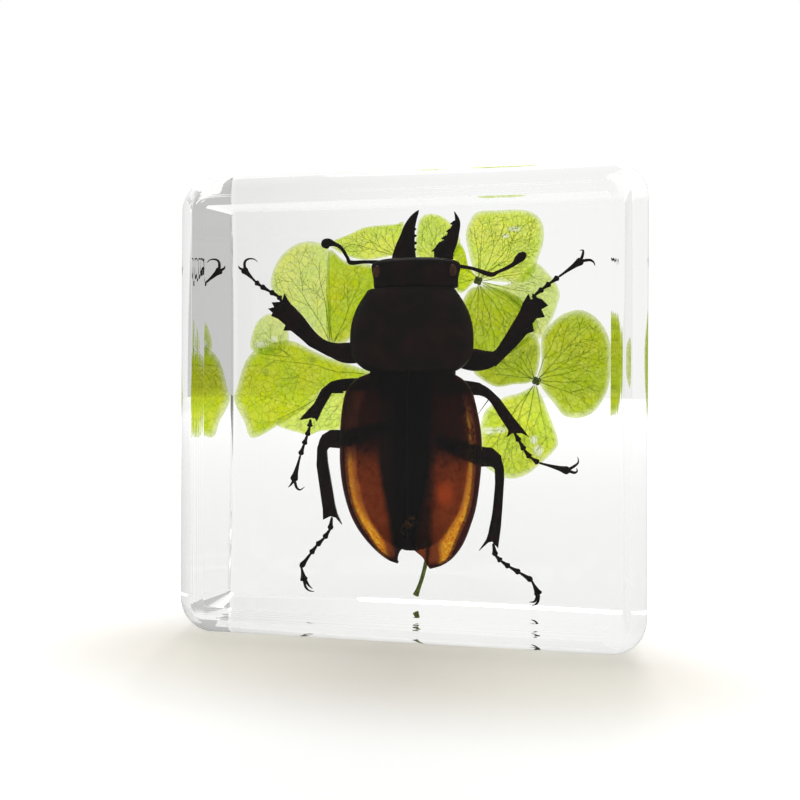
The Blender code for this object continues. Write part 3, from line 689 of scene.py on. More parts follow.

# painted shade: a dark band round the seam, where the body lies behind the cases
from_seam = without_sign(tree, minus(tree, here_x, PAINTED_BODY_SHADE_X))
painted_shade_width = band(tree, height, 6.0, 15.0, 1.0, 2.3)
seam = band(tree, minus(tree, from_seam, painted_shade_width), 0.35, -0.35)
colour = mix(tree, seam, colour, linear("211414"))
crumbs = times(tree, band(tree, from_oval(tree, place, *CRUMBS), 1.1, 0.6), band(tree, grain, 0.35, 0.6))
colour = mix(tree, crumbs, colour, linear("e0a04a"))
tree.links.new(colour, shader.inputs["Base Color"])
for side_name, (side, stations) in CASES.items():
    skin, ways = case_skin(side, stations)
    stands_for = (f"elytron_{side_name}",)
    put(f"wing_case_{side_name}", skin, case_finish, stands_for, {"way": ways}, sharp=50.0)
print(len(CASES), "wing cases")

# %% [markdown]
# ## Legs, jaws and feelers
# A limb is a profile carried along a path: at each station stand the place and the width, and the rings
# between them are ovals square to the path. The shin is flattened to a blade whose outline carries the teeth
# and spurs. Foot segments start thin and flare towards the next joint, and claws are bent cones. All of one
# limb is joined in one mesh, as it grew. One loose fibre lies beside the right middle leg.

# %% Limb skins
THINNEST = 0.01             # millimetres


def limb(stations, rows, columns, flatness, rounding):
    """Ovals round a curve through the stations (x, y, z, width), squashed in depth by flatness."""
    curve = cubic_through(stations, rows)
    place = curve[:, :3]
    half = np.maximum(curve[:, 3:], THINNEST) / 2 * end_rounding(rows, rounding)[:, None]
    along = np.gradient(place, axis=0)
    along /= np.linalg.norm(along, axis=1, keepdims=True)
    across = np.stack([along[:, 2], 0 * along[:, 0], -along[:, 0]], 1)
    across /= np.linalg.norm(across, axis=1, keepdims=True)
    deep = np.cross(along, across)
    turn = np.linspace(0, 2 * math.pi, columns, endpoint=False)[None, :, None]
    rings = (place[:, None] + across[:, None] * half[:, None] * np.cos(turn)
             + deep[:, None] * half[:, None] * flatness * np.sin(turn))
    return closed_skin(rings)


def at_depth(flat, y, *more):
    """Points (x, z) set at a depth y, with more columns after them."""
    flat = np.asarray(flat, float)
    return np.column_stack([flat[:, 0], np.full(len(flat), y), flat[:, 1], *more])


print("limbs are never thinner than", THINNEST, "mm")

# %% Teeth, claws, blades and feet
TOOTH_WIDTH, TOOTH_TIP = 0.45, 0.03
CLAW_WIDTH, CLAW_TIP = 0.26, 0.04
BLADE_Y, BLADE_THICKNESS = 4.88, 0.34
FOOT_WIDTH = 0.42
# the points of a segment are shares of its length, with the width there as a share of the foot's
SEGMENT = ((0.0, 0.5), (0.25, 0.65), (0.6, 0.9), (0.85, 1.35), (1.0, 1.0), (1.08, 0.5))
LAST_SEGMENT = ((0.0, 0.5), (0.3, 0.6), (0.7, 1.15), (0.92, 1.8), (1.0, 1.4), (1.04, 0.6))


def tooth(root, tip):
    """A cone from root to tip: the width falls with a power of the way."""
    share = np.linspace(0, 1, 5)[:, None]
    place = np.array(root) * (1 - share) + np.array(tip) * share
    widths = TOOTH_WIDTH * (1 - share ** 1.5) + TOOTH_TIP * share
    return limb(np.hstack([place, widths]), rows=12, columns=8, flatness=0.85, rounding=0.02)


def claw(points, y, width=CLAW_WIDTH):
    """A bent cone through points (x, z): the width falls with a power of the way."""
    widths = width * (1 - np.linspace(0, 1, len(points)) ** 1.4) + CLAW_TIP
    return limb(at_depth(points, y, widths), rows=24, columns=10, flatness=0.9, rounding=0.02)


def plate(outline):
    """A flat blade with the given outline of points (x, z)."""
    half = BLADE_THICKNESS / 2
    return closed_skin(np.stack([at_depth(outline, BLADE_Y - half), at_depth(outline, BLADE_Y + half)]))


def foot_segments(joints, first_y, last_y):
    """A row of flared segments between the joints; the last is slim at its start and thick at its end."""
    depths = np.linspace(first_y, last_y, len(joints))
    places = at_depth(joints, depths)
    shapes = [SEGMENT] * (len(joints) - 2) + [LAST_SEGMENT]
    parts = []
    for start, end, shape in zip(places, places[1:], shapes):
        way, width = np.array(shape).T[:, :, None]
        stations = np.hstack([start + (end - start) * way, FOOT_WIDTH * width])
        parts.append(limb(stations, rows=24, columns=14, flatness=0.8, rounding=0.06))
    return parts


print("foot segments are", FOOT_WIDTH, "mm wide before they flare")

# %% Leg stations
FIBRE = ((7.1, 19.6), (6.6, 18.9), (6.05, 18.1))
FIBRE_Y, FIBRE_WIDTH = 5.2, 0.06
LEGS = {
    # shin: x, y, z and width along thigh and shin; blade: outline of the shin with its teeth and spurs, x and
    # z; foot: its joints, x and z; foot_y: depth of the first and last joint; claws: x and z from the root
    "front_left": dict(
        shin=((-2.2, 4.75, 24.3, 1.2), (-4.2, 4.8, 24.0, 1.8), (-6.3, 4.8, 23.85, 2.0),
              (-7.7, 4.8, 24.1, 1.5), (-8.9, 4.8, 24.7, 1.05), (-10.0, 4.8, 25.6, 1.1),
              (-11.3, 4.8, 27.0, 1.4), (-12.4, 4.85, 28.0, 1.5), (-12.9, 4.9, 28.5, 0.9)),
        blade=((-8.2, 23.5), (-10.1, 24.5), (-11.0, 25.3), (-11.9, 26.0), (-12.6, 26.0), (-12.4, 26.5),
               (-13.1, 27.1), (-13.8, 27.4), (-13.65, 27.7), (-14.1, 28.1), (-13.5, 28.25), (-13.75, 28.7),
               (-12.95, 28.75), (-12.7, 28.9), (-12.5, 29.55), (-12.1, 28.85), (-11.6, 28.1), (-10.4, 26.8),
               (-9.2, 25.4), (-8.2, 24.6)),
        foot=((-12.85, 28.8), (-13.2, 29.3), (-14.15, 29.85), (-15.2, 30.45), (-15.85, 30.9),
              (-17.25, 32.25)),
        foot_y=(5.0, 7.05),
        claws=(((-17.1, 32.2), (-17.15, 32.8), (-17.0, 33.15), (-16.65, 33.3), (-16.15, 33.25),
                (-15.8, 32.95)),
               ((-17.3, 32.2), (-17.65, 32.4), (-17.75, 32.65)))),
    "front_right": dict(
        shin=((2.3, 4.75, 23.9, 1.2), (4.0, 4.8, 23.5, 1.8), (5.6, 4.8, 23.2, 2.1), (6.9, 4.8, 23.2, 1.7),
              (7.9, 4.8, 23.6, 1.15), (8.8, 4.8, 24.8, 1.15), (9.9, 4.8, 26.4, 1.4),
              (10.8, 4.85, 27.8, 1.5), (11.1, 4.9, 28.4, 0.9)),
        blade=((7.6, 22.5), (8.8, 23.7), (9.8, 24.7), (10.55, 25.6), (11.15, 25.8), (11.0, 26.5),
               (11.4, 27.0), (12.1, 27.1), (11.8, 27.8), (12.4, 28.15), (11.85, 28.7), (11.2, 28.95),
               (10.85, 28.7), (10.6, 29.25), (10.1, 28.4), (9.5, 26.7), (8.7, 25.1), (7.8, 23.9)),
        foot=((11.0, 28.9), (11.2, 29.15), (11.9, 29.7), (12.55, 30.2), (13.3, 30.75), (15.4, 32.25)),
        foot_y=(5.0, 5.2),
        claws=(((15.3, 32.2), (15.5, 32.8), (15.5, 33.15), (15.2, 33.15)),
               ((15.4, 32.2), (16.1, 32.25), (16.45, 32.05), (16.6, 31.7)))),
    "middle_left": dict(
        shin=((-2.0, 4.7, 20.3, 1.0), (-4.4, 4.75, 20.8, 1.2), (-6.6, 4.8, 20.8, 1.2),
              (-7.8, 4.8, 20.6, 1.0), (-8.5, 4.8, 20.0, 0.85), (-9.15, 4.85, 18.9, 0.9),
              (-9.75, 4.9, 18.0, 0.9), (-9.95, 4.95, 17.7, 0.6)),
        blade=((-6.8, 20.0), (-7.9, 20.0), (-8.2, 19.5), (-8.8, 18.5), (-9.1, 17.8), (-9.35, 17.3),
               (-9.55, 17.7), (-10.2, 17.55), (-11.05, 17.4), (-10.35, 18.2), (-9.6, 19.0), (-8.85, 20.4),
               (-7.9, 21.15), (-6.8, 21.3)),
        foot=((-10.0, 17.5), (-10.05, 16.8), (-10.3, 15.95), (-10.6, 15.1), (-10.95, 14.1), (-11.6, 11.6)),
        foot_y=(5.0, 5.1),
        claws=(((-11.6, 11.6), (-11.85, 11.2), (-12.15, 10.9)),
               ((-11.5, 11.5), (-11.3, 10.9), (-10.95, 10.7), (-10.5, 11.0)))),
    "middle_right": dict(
        shin=((2.2, 4.7, 20.2, 1.0), (3.9, 4.75, 20.6, 1.3), (5.3, 4.8, 20.55, 1.3), (6.5, 4.8, 20.3, 1.0),
              (7.4, 4.8, 19.6, 0.8), (8.4, 4.85, 18.1, 0.85), (9.3, 4.9, 16.9, 0.95),
              (9.6, 4.95, 16.5, 0.6)),
        blade=((5.4, 19.9), (6.8, 19.9), (7.4, 19.1), (8.5, 17.4), (8.85, 16.6), (8.7, 16.0), (9.2, 16.4),
               (10.1, 16.4), (10.75, 16.05), (10.2, 16.8), (9.3, 17.9), (8.05, 19.6), (7.3, 20.3),
               (6.2, 21.05), (5.4, 21.2)),
        foot=((9.4, 16.45), (9.85, 15.7), (10.3, 14.9), (10.85, 14.2), (11.6, 13.7), (14.35, 13.0)),
        foot_y=(5.0, 5.2),
        claws=(((14.3, 13.1), (14.85, 13.45), (15.2, 13.8), (15.15, 14.35)),
               ((14.35, 13.0), (14.85, 12.85), (15.1, 13.0), (15.05, 13.3)))),
    "hind_left": dict(
        shin=((-2.0, 4.7, 17.0, 1.2), (-4.6, 4.75, 16.2, 1.6), (-7.0, 4.8, 15.65, 1.6),
              (-8.2, 4.8, 15.5, 1.5), (-8.75, 4.8, 14.6, 0.95), (-8.75, 4.85, 13.2, 0.95),
              (-8.4, 4.9, 10.8, 0.95), (-8.0, 4.9, 9.2, 1.0), (-7.9, 4.95, 8.6, 0.8)),
        blade=((-7.0, 14.75), (-8.35, 14.85), (-8.25, 13.5), (-7.9, 11.6), (-7.5, 9.4), (-7.25, 8.5),
               (-6.8, 7.55), (-7.4, 8.2), (-7.9, 8.3), (-8.6, 7.95), (-8.65, 9.0), (-8.95, 10.85),
               (-9.3, 13.1), (-9.25, 14.8), (-8.8, 16.0), (-8.0, 16.5), (-7.0, 16.5)),
        foot=((-7.8, 8.2), (-7.95, 7.05), (-8.5, 6.2), (-9.2, 5.5), (-9.8, 4.7), (-10.75, 3.4),
              (-10.45, 2.1)),
        foot_y=(5.0, 5.2),
        claws=(((-10.45, 2.1), (-10.3, 1.5), (-9.95, 1.15), (-9.4, 1.05)),
               ((-10.3, 2.1), (-10.0, 1.65), (-9.6, 1.3)))),
    "hind_right": dict(
        shin=((2.0, 4.7, 15.9, 1.2), (4.2, 4.75, 14.9, 1.6), (6.0, 4.8, 14.3, 1.7), (7.3, 4.8, 14.0, 1.5),
              (8.0, 4.8, 13.2, 0.9), (8.05, 4.85, 11.9, 0.8), (7.85, 4.9, 9.0, 0.9), (7.55, 4.9, 7.1, 1.0),
              (7.5, 4.95, 6.4, 0.8)),
        blade=((6.3, 13.25), (7.6, 13.3), (7.7, 10.5), (7.35, 8.0), (6.85, 6.5), (6.2, 5.5), (7.05, 6.3),
               (7.4, 6.4), (7.95, 5.8), (8.2, 7.7), (8.35, 9.8), (8.5, 12.3), (8.2, 14.3), (7.4, 15.0),
               (6.3, 15.1)),
        foot=((7.5, 6.2), (7.7, 5.1), (8.2, 4.6), (8.95, 4.1), (9.9, 3.6), (11.0, 2.95), (11.65, 1.7)),
        foot_y=(5.0, 5.2),
        claws=(((11.65, 1.7), (11.6, 1.1), (11.35, 0.75), (10.95, 0.6)),
               ((11.55, 1.6), (11.3, 1.05), (10.8, 0.95)))),
}

for leg_name, leg in LEGS.items():
    first_y, last_y = leg["foot_y"]
    shin = limb(leg["shin"], rows=110, columns=24, flatness=0.62, rounding=0.03)
    parts = [shin, plate(leg["blade"])]
    parts += foot_segments(leg["foot"], first_y, last_y)
    parts += [claw(points, last_y) for points in leg["claws"]]
    put(f"leg_{leg_name}_shell", joined(parts), shell, (f"leg_{leg_name}",))
put("loose_fibre", claw(FIBRE, FIBRE_Y, FIBRE_WIDTH), shell)
print(len(LEGS), "legs")

# %% [markdown]
# The jaws are short, flat and toothed on their inner edges. Each is a blade between an outer and an inner
# edge: the same ovals along a path, but wide and thin, with one cone for each tooth.

# %% Jaws
JAWS = {
    # x, y, z and width along the blade, then root and tip of each tooth, x and z
    "left": (((-0.75, 2.5, 32.0, 2.1), (-0.71, 2.7, 32.45, 2.2), (-0.63, 2.8, 33.3, 1.85),
              (-0.45, 2.9, 34.2, 1.42), (-0.27, 3.0, 35.1, 1.1), (0.05, 3.05, 35.9, 0.75),
              (0.35, 3.1, 36.4, 0.42), (0.6, 3.1, 36.75, 0.08)),
             (((0.1, 33.15), (0.42, 33.2)), ((0.05, 33.75), (0.5, 33.75)), ((0.05, 34.4), (0.46, 34.42)),
              ((0.05, 35.0), (0.42, 35.02)))),
    "right": (((2.95, 2.5, 32.0, 1.7), (2.9, 2.7, 32.45, 1.75), (3.0, 2.8, 33.0, 1.8),
               (3.5, 2.9, 33.7, 1.25), (3.76, 3.0, 34.5, 1.05), (4.04, 3.05, 35.3, 0.72),
               (4.1, 3.1, 35.8, 0.42), (3.84, 3.1, 36.55, 0.06)),
              (((2.5, 33.3), (1.75, 32.95)), ((2.7, 33.7), (2.15, 33.3)), ((3.2, 34.2), (2.66, 34.08)),
               ((3.6, 34.8), (3.08, 34.72)), ((3.95, 35.5), (3.46, 35.38)))),
}
TOOTH_Y = 2.95
for side_name, (blade, teeth) in JAWS.items():
    parts = [limb(blade, rows=90, columns=28, flatness=0.5, rounding=0.02)]
    parts += [tooth(*at_depth(root_and_tip, TOOTH_Y)) for root_and_tip in teeth]
    put(f"jaw_{side_name}", joined(parts), shell, (f"mandible_{side_name}",))
print("jaws with", [len(teeth) for _, teeth in JAWS.values()], "teeth")

# %% [markdown]
# A feeler is a thin shaft with a knee, and its last segments are wider: they make the club at its end.

# %% Feelers
FEELERS = {                 # x, y, z and width
    "left": ((-2.7, 2.4, 31.95, 0.42), (-4.3, 2.8, 32.1, 0.32), (-5.7, 3.0, 32.1, 0.42),
             (-6.05, 3.0, 32.6, 0.3), (-6.6, 3.0, 33.45, 0.36), (-7.2, 3.0, 33.8, 0.42),
             (-7.75, 3.0, 33.95, 0.8), (-8.15, 3.0, 33.8, 0.9), (-8.45, 3.0, 33.65, 0.3)),
    "right": ((3.5, 2.4, 31.6, 0.42), (5.4, 2.8, 31.35, 0.32), (7.1, 3.0, 30.8, 0.46),
              (7.75, 3.0, 31.0, 0.3), (8.6, 3.0, 31.35, 0.36), (9.2, 3.0, 31.7, 0.42),
              (9.6, 3.0, 32.1, 0.75), (9.95, 3.0, 32.45, 0.8), (10.1, 3.0, 32.75, 0.3)),
}
for side_name, stations in FEELERS.items():
    feeler = limb(stations, rows=90, columns=16, flatness=0.9, rounding=0.03)
    put(f"feeler_{side_name}", feeler, shell, (f"antenna_{side_name}",))
print(len(FEELERS), "feelers")

# %% [markdown]
# ## Petals
# The pressed petals are thin green films, each fanning out from its base with a net of veins. A flat plate
# with a picture of veins would do from afar. Here each petal is a surface between its middle and its outline,
# slightly wavy, with two nets of cells in its finish. Its veins are pieces of their own.

# %% Petal finish
FINE_CELL = 0.62            # millimetres across the meshes of the net
GRAIN_CELL = 0.16           # millimetres across the cells that shine as pale dots

petal_finish, tree, shader = finish_named(
    "pressed green petal, translucent", Roughness=0.4, IOR=1.03, Transmission_Weight=0.97)
place = millimetres(tree)
paleness, greenness = stored(tree, "tone")[:2]
warp = clouds(tree, place, 0.8, 3.0)["Color"]
net_at = add(tree, "ShaderNodeVectorMath", {0: place, 1: warp}, operation="ADD").outputs[0]
net = cells(tree, net_at, FINE_CELL, "Distance", feature="DISTANCE_TO_EDGE")
cell = numbers_of(tree, cells(tree, net_at, FINE_CELL, "Color"))[0]
dot = numbers_of(tree, cells(tree, place, GRAIN_CELL, "Color"))[0]
patch = clouds(tree, place, 0.3, 4.0)[0]
colour = mix(tree, band(tree, patch, 0.38, 0.62), linear("d6f004"), linear("eef608"))
colour = mix(tree, times(tree, greenness, 0.8), colour, linear("8c9f06"))
colour = mix(tree, times(tree, cell, 0.16), colour, linear("ecf48c"))
sparkle = times(tree, band(tree, dot, 0.55, 0.95), band(tree, paleness, 0.0, 0.3, 0.12, 0.5))
colour = mix(tree, sparkle, colour, linear("f2f8a8"))
colour = mix(tree, times(tree, band(tree, net, 0.075, 0.0), 0.75), colour, linear("86a010"))
# the paleness also carries the painted highlight of the air spots
colour = mix(tree, times(tree, paleness, 0.85), colour, linear("f0f5d8"))
tree.links.new(colour, shader.inputs["Base Color"])
print("the net of veins has meshes of", FINE_CELL, "mm")

# %% Vein finish
vein_finish, tree, shader = finish_named(
    "petal vein, olive", Base_Color=linear("a9b938"), Roughness=0.5, IOR=1.05, Transmission_Weight=0.8)
print("veins let light through:", shader.inputs["Transmission Weight"].default_value)

# %% Petal shape
PETAL_THICKNESS = 0.09
RIM_THINNING = 0.6          # the share of the thickness that is gone at the rim
LAYERS = {"near": 5.92, "mid": 6.3, "far": 6.68, "back": 7.05}      # depths, the last one nearest to the back
WAVES = (0.05, 5.0, 0.8), (0.03, 1.7)   # a wave's height and its rates round the base and along; a ripple's
RIM_STEPS, RING_STEPS = 200, 44
PALE_RIM = (0.85, 0.75, 1.6)            # the share of the way out where it begins, its strength and its power
PAINTED_AIR_SHINE = (
    # x, z, half width, half height: here the resin didn't wet the petal, and the white shine of the film of
    # air is a painted highlight, the petal paled to near white
    (7.1, 16.5, 0.6, 0.34), (8.2, 16.6, 0.5, 0.3), (11.3, 15.7, 0.35, 0.4), (11.7, 14.7, 0.42, 0.5),
    (9.4, 35.6, 0.6, 0.24), (8.6, 35.0, 0.35, 0.2), (-15.5, 24.8, 0.55, 0.3), (-14.1, 25.3, 0.32, 0.26),
)
GREEN_SPOTS = ((-10.3, 23.3, 0.35, 0.3), (-15.0, 22.0, 0.3, 0.4))


def petal_depth(flat, middle, base, layer, seed):
    """The sheet waves by sines of the angle and the distance from its base; the seed shifts them."""
    away = flat - np.array(base)
    axis = middle - np.array(base)
    radius = np.linalg.norm(away, axis=-1)
    angle = np.arctan2(away[..., 0] * axis[1] - away[..., 1] * axis[0], away @ axis)
    (height, around, along), (ripple, along_ripple) = WAVES
    wave = height * np.sin(angle * around + seed) * np.sin(radius * along)
    return LAYERS[layer] + wave + ripple * np.sin(radius * along_ripple + 2 * seed)


def spotted(flat, spots):
    """Near one inside the nearest spot and zero outside: a bell curve of the distance's fourth power."""
    x, z, wide, high = np.array(spots).T
    away = ((flat[..., 0:1] - x) / wide) ** 2 + ((flat[..., 1:2] - z) / high) ** 2
    return np.exp(-away ** 2).max(axis=-1)


def petal_skin(rim, layer, base, pale, shade, seed):
    """Points run from the outline's middle out to the outline in even shares, on both faces of the film.
    The tone of a point is its paleness, which grows at the rim and at the spots of painted highlight, and its
    deeper green."""
    middle = rim.mean(axis=0)
    share = np.linspace(0.02, 1, RING_STEPS)[:, None, None]
    flat = middle + share * (rim - middle)
    edge = share[..., 0] + np.zeros(flat.shape[:2])
    half = PETAL_THICKNESS / 2 * (1 - RIM_THINNING * edge ** 6)
    y = petal_depth(flat, middle, base, layer, seed)
    near = np.stack([flat[..., 0], y - half, flat[..., 1]], -1)
    far = np.stack([flat[..., 0], y + half, flat[..., 1]], -1)
    begin, strength, power = PALE_RIM
    pale_rim = strength * np.clip((edge - begin) / (1 - begin), 0, 1) ** power
    # painted highlight: the air spots pale the petal to near white, standing for the shine of a film of air
    paleness = np.clip(pale + pale_rim + spotted(flat, PAINTED_AIR_SHINE), 0, 1)
    greenness = np.clip(shade + spotted(flat, GREEN_SPOTS), 0, 1)
    tones = np.stack([paleness, greenness, 0 * edge], -1)
    return closed_skin(np.concatenate([near, far[::-1]])), {"tone": np.concatenate([tones, tones[::-1]])}


print("the films lie at y =", list(LAYERS.values()), "mm")

# %% [markdown]
# The main veins leave the petal's base, fan out and send side veins out by turns, which send out finer ones.
# They stand out from the film, so they are thin tubes: each bends a little by chance and ends where the petal
# ends. The net between them is in the finish.

# %% Vein shape
VEIN_POINTS = 9
VEIN_WIDTHS = (0.085, 0.055, 0.04)      # main veins, side veins and the finer ones
VEIN_ROOM = 0.95                        # the share of the way to the rim that veins may fill
FAN, FAN_CHANCE = 0.75, 0.08            # radians that the main veins spread to either side, and chance in it
BEND, WIGGLE = 0.35, 0.09               # radians that a vein turns over its length, and from point to point
MAIN_LENGTH = 1.1                       # of the petal's reach
SIDE_LENGTHS = (0.3, 0.45)              # of the vein they leave: side veins, and finer ones
LENGTH_CHANCE = (0.7, 1.15)             # times a factor between these
SIDE_ANGLE = 0.62                       # radians between a vein and its side vein
LEVEL_SIDE = 1e-9                       # the least rise of an outline's side, so that it can be divided by


def within(outline, points):
    """True for points that lie inside a closed outline: an odd number of its sides is to their right."""
    side = np.roll(outline, -1, axis=0) - outline
    rise = np.where(np.abs(side[:, 1]) < LEVEL_SIDE, LEVEL_SIDE, side[:, 1])
    way = (points[:, None, 1] - outline[:, 1]) / rise
    crossing = outline[:, 0] + way * side[:, 0]
    return ((way >= 0) & (way < 1) & (points[:, None, 0] < crossing)).sum(axis=1) % 2 == 1


def vein_paths(rim, base, ribs, seed):
    """Flat paths (points, level) of all veins of a petal. Each point lies a step further along a heading
    that turns by chance; veins that wait to be drawn are kept in a list, and every vein adds its side veins
    to it."""
    rng = np.random.default_rng(seed)
    middle = rim.mean(axis=0)
    inner = middle + VEIN_ROOM * (rim - middle)
    axis = middle - base
    toward = math.atan2(axis[1], axis[0])
    reach = np.linalg.norm(rim - base, axis=1).max()
    headings = np.linspace(-FAN, FAN, ribs) + rng.uniform(-FAN_CHANCE, FAN_CHANCE, ribs)
    waiting = [(base, toward + heading, reach * MAIN_LENGTH, 0) for heading in headings]
    paths = []
    while waiting:
        start, heading, length, level = waiting.pop()
        bend = rng.uniform(-BEND, BEND) * np.linspace(0, 1, VEIN_POINTS)
        turns = heading + bend + rng.normal(0, WIGGLE, VEIN_POINTS)
        steps = np.stack([np.cos(turns), np.sin(turns)], 1) * length / (VEIN_POINTS - 1)
        points = np.vstack([start, start + np.cumsum(steps, axis=0)])
        held = within(inner, points)
        left = np.maximum.accumulate(held) & ~held
        last = int(np.argmax(left)) if left.any() else len(points)
        if last < 3 or not held.any():
            continue
        points = points[:last]
        paths.append((points, level))
        if level < len(SIDE_LENGTHS):
            for number in range(2, last - 1):
                side = 1 if number % 2 else -1
                room = length * SIDE_LENGTHS[level] * rng.uniform(*LENGTH_CHANCE)
                waiting.append((points[number], turns[number] + side * SIDE_ANGLE, room, level + 1))
    return paths


def veins_skin(rim, layer, base, ribs, seed):
    """All veins of a petal as tubes in the middle of its film, thinner towards their ends."""
    base = np.array(base)
    middle = rim.mean(axis=0)
    skins = []
    for points, level in vein_paths(rim, base, ribs, seed):
        y = petal_depth(points, middle, base, layer, seed)
        width = VEIN_WIDTHS[level] * np.linspace(1, 0.5, len(points))
        stations = at_depth(points, y, width)
        skins.append(limb(stations, rows=2 * len(points), columns=5, flatness=1.0, rounding=0.02))
    return joined(skins)


print("veins are", VEIN_WIDTHS, "mm thick")

# %% Petal pieces
PETALS = {
    # layer, base x and z, paleness, deeper green, main veins, then the outline: x and z
    "left_upper": ("mid", (-8.4, 24.8), 0.3, 0.0, 6, (
        (-8.4, 24.7), (-10.3, 26.4), (-12.0, 28.2), (-13.7, 29.3), (-14.3, 30.5), (-14.1, 31.8),
        (-13.3, 33.3), (-12.0, 34.4), (-10.6, 34.8), (-9.2, 34.6), (-8.5, 34.2), (-8.4, 31.4))),
    "left_inner": ("far", (-8.2, 24.8), 0.0, 0.5, 5, (
        (-8.5, 24.8), (-8.9, 28.1), (-8.8, 32.2), (-8.4, 34.0), (-6.9, 32.9), (-4.0, 32.3), (-4.0, 30.0),
        (-5.2, 28.9), (-6.1, 27.2), (-6.6, 25.2))),
    "left_top": ("near", (-1.8, 33.2), 0.14, 0.0, 5, (
        (-8.3, 34.4), (-6.2, 35.4), (-4.6, 36.0), (-1.8, 36.2), (-1.1, 36.3), (-0.9, 33.8), (-4.0, 32.9),
        (-6.2, 33.1))),
    "left_side": ("back", (-4.3, 21.8), 0.0, 0.42, 4, (
        (-4.2, 21.8), (-6.2, 22.7), (-8.7, 23.5), (-10.3, 24.2), (-12.6, 25.2), (-14.8, 24.8),
        (-16.2, 24.2), (-17.2, 22.9), (-17.9, 20.6), (-18.2, 19.2), (-17.2, 17.2), (-16.3, 15.5),
        (-13.7, 16.8), (-11.3, 18.3), (-9.6, 19.8), (-8.2, 20.9))),
    "left_pale": ("far", (-12.5, 23.5), 0.42, 0.0, 3, (
        (-16.4, 24.3), (-16.1, 26.4), (-15.4, 27.4), (-14.3, 27.8), (-12.9, 26.8), (-12.7, 24.7),
        (-14.3, 23.7))),
    "left_lower": ("near", (-6.0, 20.6), 0.18, 0.1, 4, (
        (-5.8, 20.6), (-6.9, 16.8), (-9.2, 16.3), (-10.3, 15.9), (-11.3, 16.1), (-13.6, 17.0),
        (-11.3, 18.6), (-8.6, 20.3))),
    "middle_top": ("mid", (2.3, 31.5), 0.15, 0.0, 5, (
        (0.0, 33.4), (0.2, 36.0), (0.6, 36.9), (1.5, 37.2), (2.7, 36.8), (3.9, 35.6), (4.3, 33.8),
        (3.2, 32.6), (1.2, 32.4))),
    "a_upper": ("far", (6.05, 30.9), 0.14, 0.1, 7, (
        (6.0, 31.1), (5.4, 32.3), (5.0, 33.9), (4.8, 35.4), (5.5, 37.0), (6.4, 37.4), (8.0, 37.4),
        (9.8, 37.4), (11.2, 37.0), (12.0, 36.0), (12.1, 34.4), (11.6, 32.7), (11.2, 31.3), (10.3, 30.6),
        (7.9, 30.7))),
    "a_right": ("mid", (6.2, 30.7), 0.35, 0.2, 5, (
        (6.4, 30.5), (8.8, 30.4), (10.9, 32.0), (11.5, 32.3), (12.3, 31.6), (13.2, 30.5), (13.6, 29.4),
        (13.4, 28.4), (12.8, 26.8), (11.7, 25.2), (10.6, 26.6), (9.2, 28.6))),
    "a_lower": ("far", (6.05, 30.6), 0.0, 0.72, 6, (
        (6.1, 30.3), (4.9, 29.7), (4.3, 27.6), (4.6, 24.3), (7.7, 23.4), (10.6, 24.9), (11.6, 26.6),
        (10.6, 28.6), (8.5, 29.9))),
    "a_inner": ("near", (6.0, 30.9), 0.0, 0.3, 3, (
        (5.8, 30.9), (4.5, 29.6), (3.7, 30.3), (3.3, 32.4), (4.1, 34.2), (4.7, 33.6), (5.1, 32.1),
        (5.6, 31.4))),
    "b_right": ("far", (11.5, 21.3), 0.0, 0.72, 6, (
        (11.7, 21.4), (12.0, 23.0), (12.0, 25.4), (13.0, 26.8), (14.1, 27.6), (15.5, 27.9), (16.8, 27.3),
        (17.75, 26.1), (18.25, 24.7), (18.3, 23.2), (18.25, 21.6), (17.85, 20.0), (16.8, 18.4),
        (15.5, 17.8), (14.1, 18.0), (13.2, 19.1), (12.1, 20.5))),
    "b_lower": ("mid", (11.4, 21.1), 0.05, 0.35, 6, (
        (11.4, 20.8), (9.9, 20.1), (8.3, 19.6), (6.6, 18.2), (6.2, 15.7), (6.5, 13.4), (8.5, 12.1),
        (10.1, 12.2), (11.5, 13.1), (13.2, 14.8), (13.5, 15.7), (12.9, 17.6), (12.2, 19.4), (11.8, 20.2))),
    "b_left": ("near", (11.4, 21.3), 0.0, 0.85, 6, (
        (11.2, 21.3), (11.8, 23.4), (11.7, 24.9), (11.0, 25.6), (8.8, 24.2), (7.0, 23.1), (5.6, 22.3),
        (6.2, 21.5), (7.7, 20.7), (9.3, 20.9))),
}
for seed, (petal_name, (layer, base, pale, shade, ribs, outline)) in enumerate(PETALS.items()):
    rim = cubic_through(outline, RIM_STEPS, closed=True)
    skin, values = petal_skin(rim, layer, base, pale, shade, seed)
    put(f"petal_film_{petal_name}", skin, petal_finish, (f"petal_{petal_name}",), values)
    put(f"petal_veins_{petal_name}", veins_skin(rim, layer, base, ribs, seed), vein_finish)
print(len(PETALS), "petals")

# %% [markdown]
# Small olive knobs hold the petals of a floret together, and one thin cut stem stands below the beetle. Both
# have one finish with fibres along Z: the clouds are drawn out that way.

# %% Floret centres and stem
FIBRES = (9.0, 9.0, 1.2)    # clouds to a millimetre along X, Y and Z

plant, tree, shader = finish_named("dry olive stem", Roughness=0.6, IOR=1.45, Specular_IOR_Level=0.2)
place = millimetres(tree)
streaks = add(tree, "ShaderNodeMapping", {"Vector": place, "Scale": FIBRES}).outputs[0]
fibres = clouds(tree, streaks, 1.0, 4.0)[0]
colour = mix(tree, band(tree, fibres, 0.35, 0.65), linear("76903a"), linear("a8b850"))
tree.links.new(colour, shader.inputs["Base Color"])

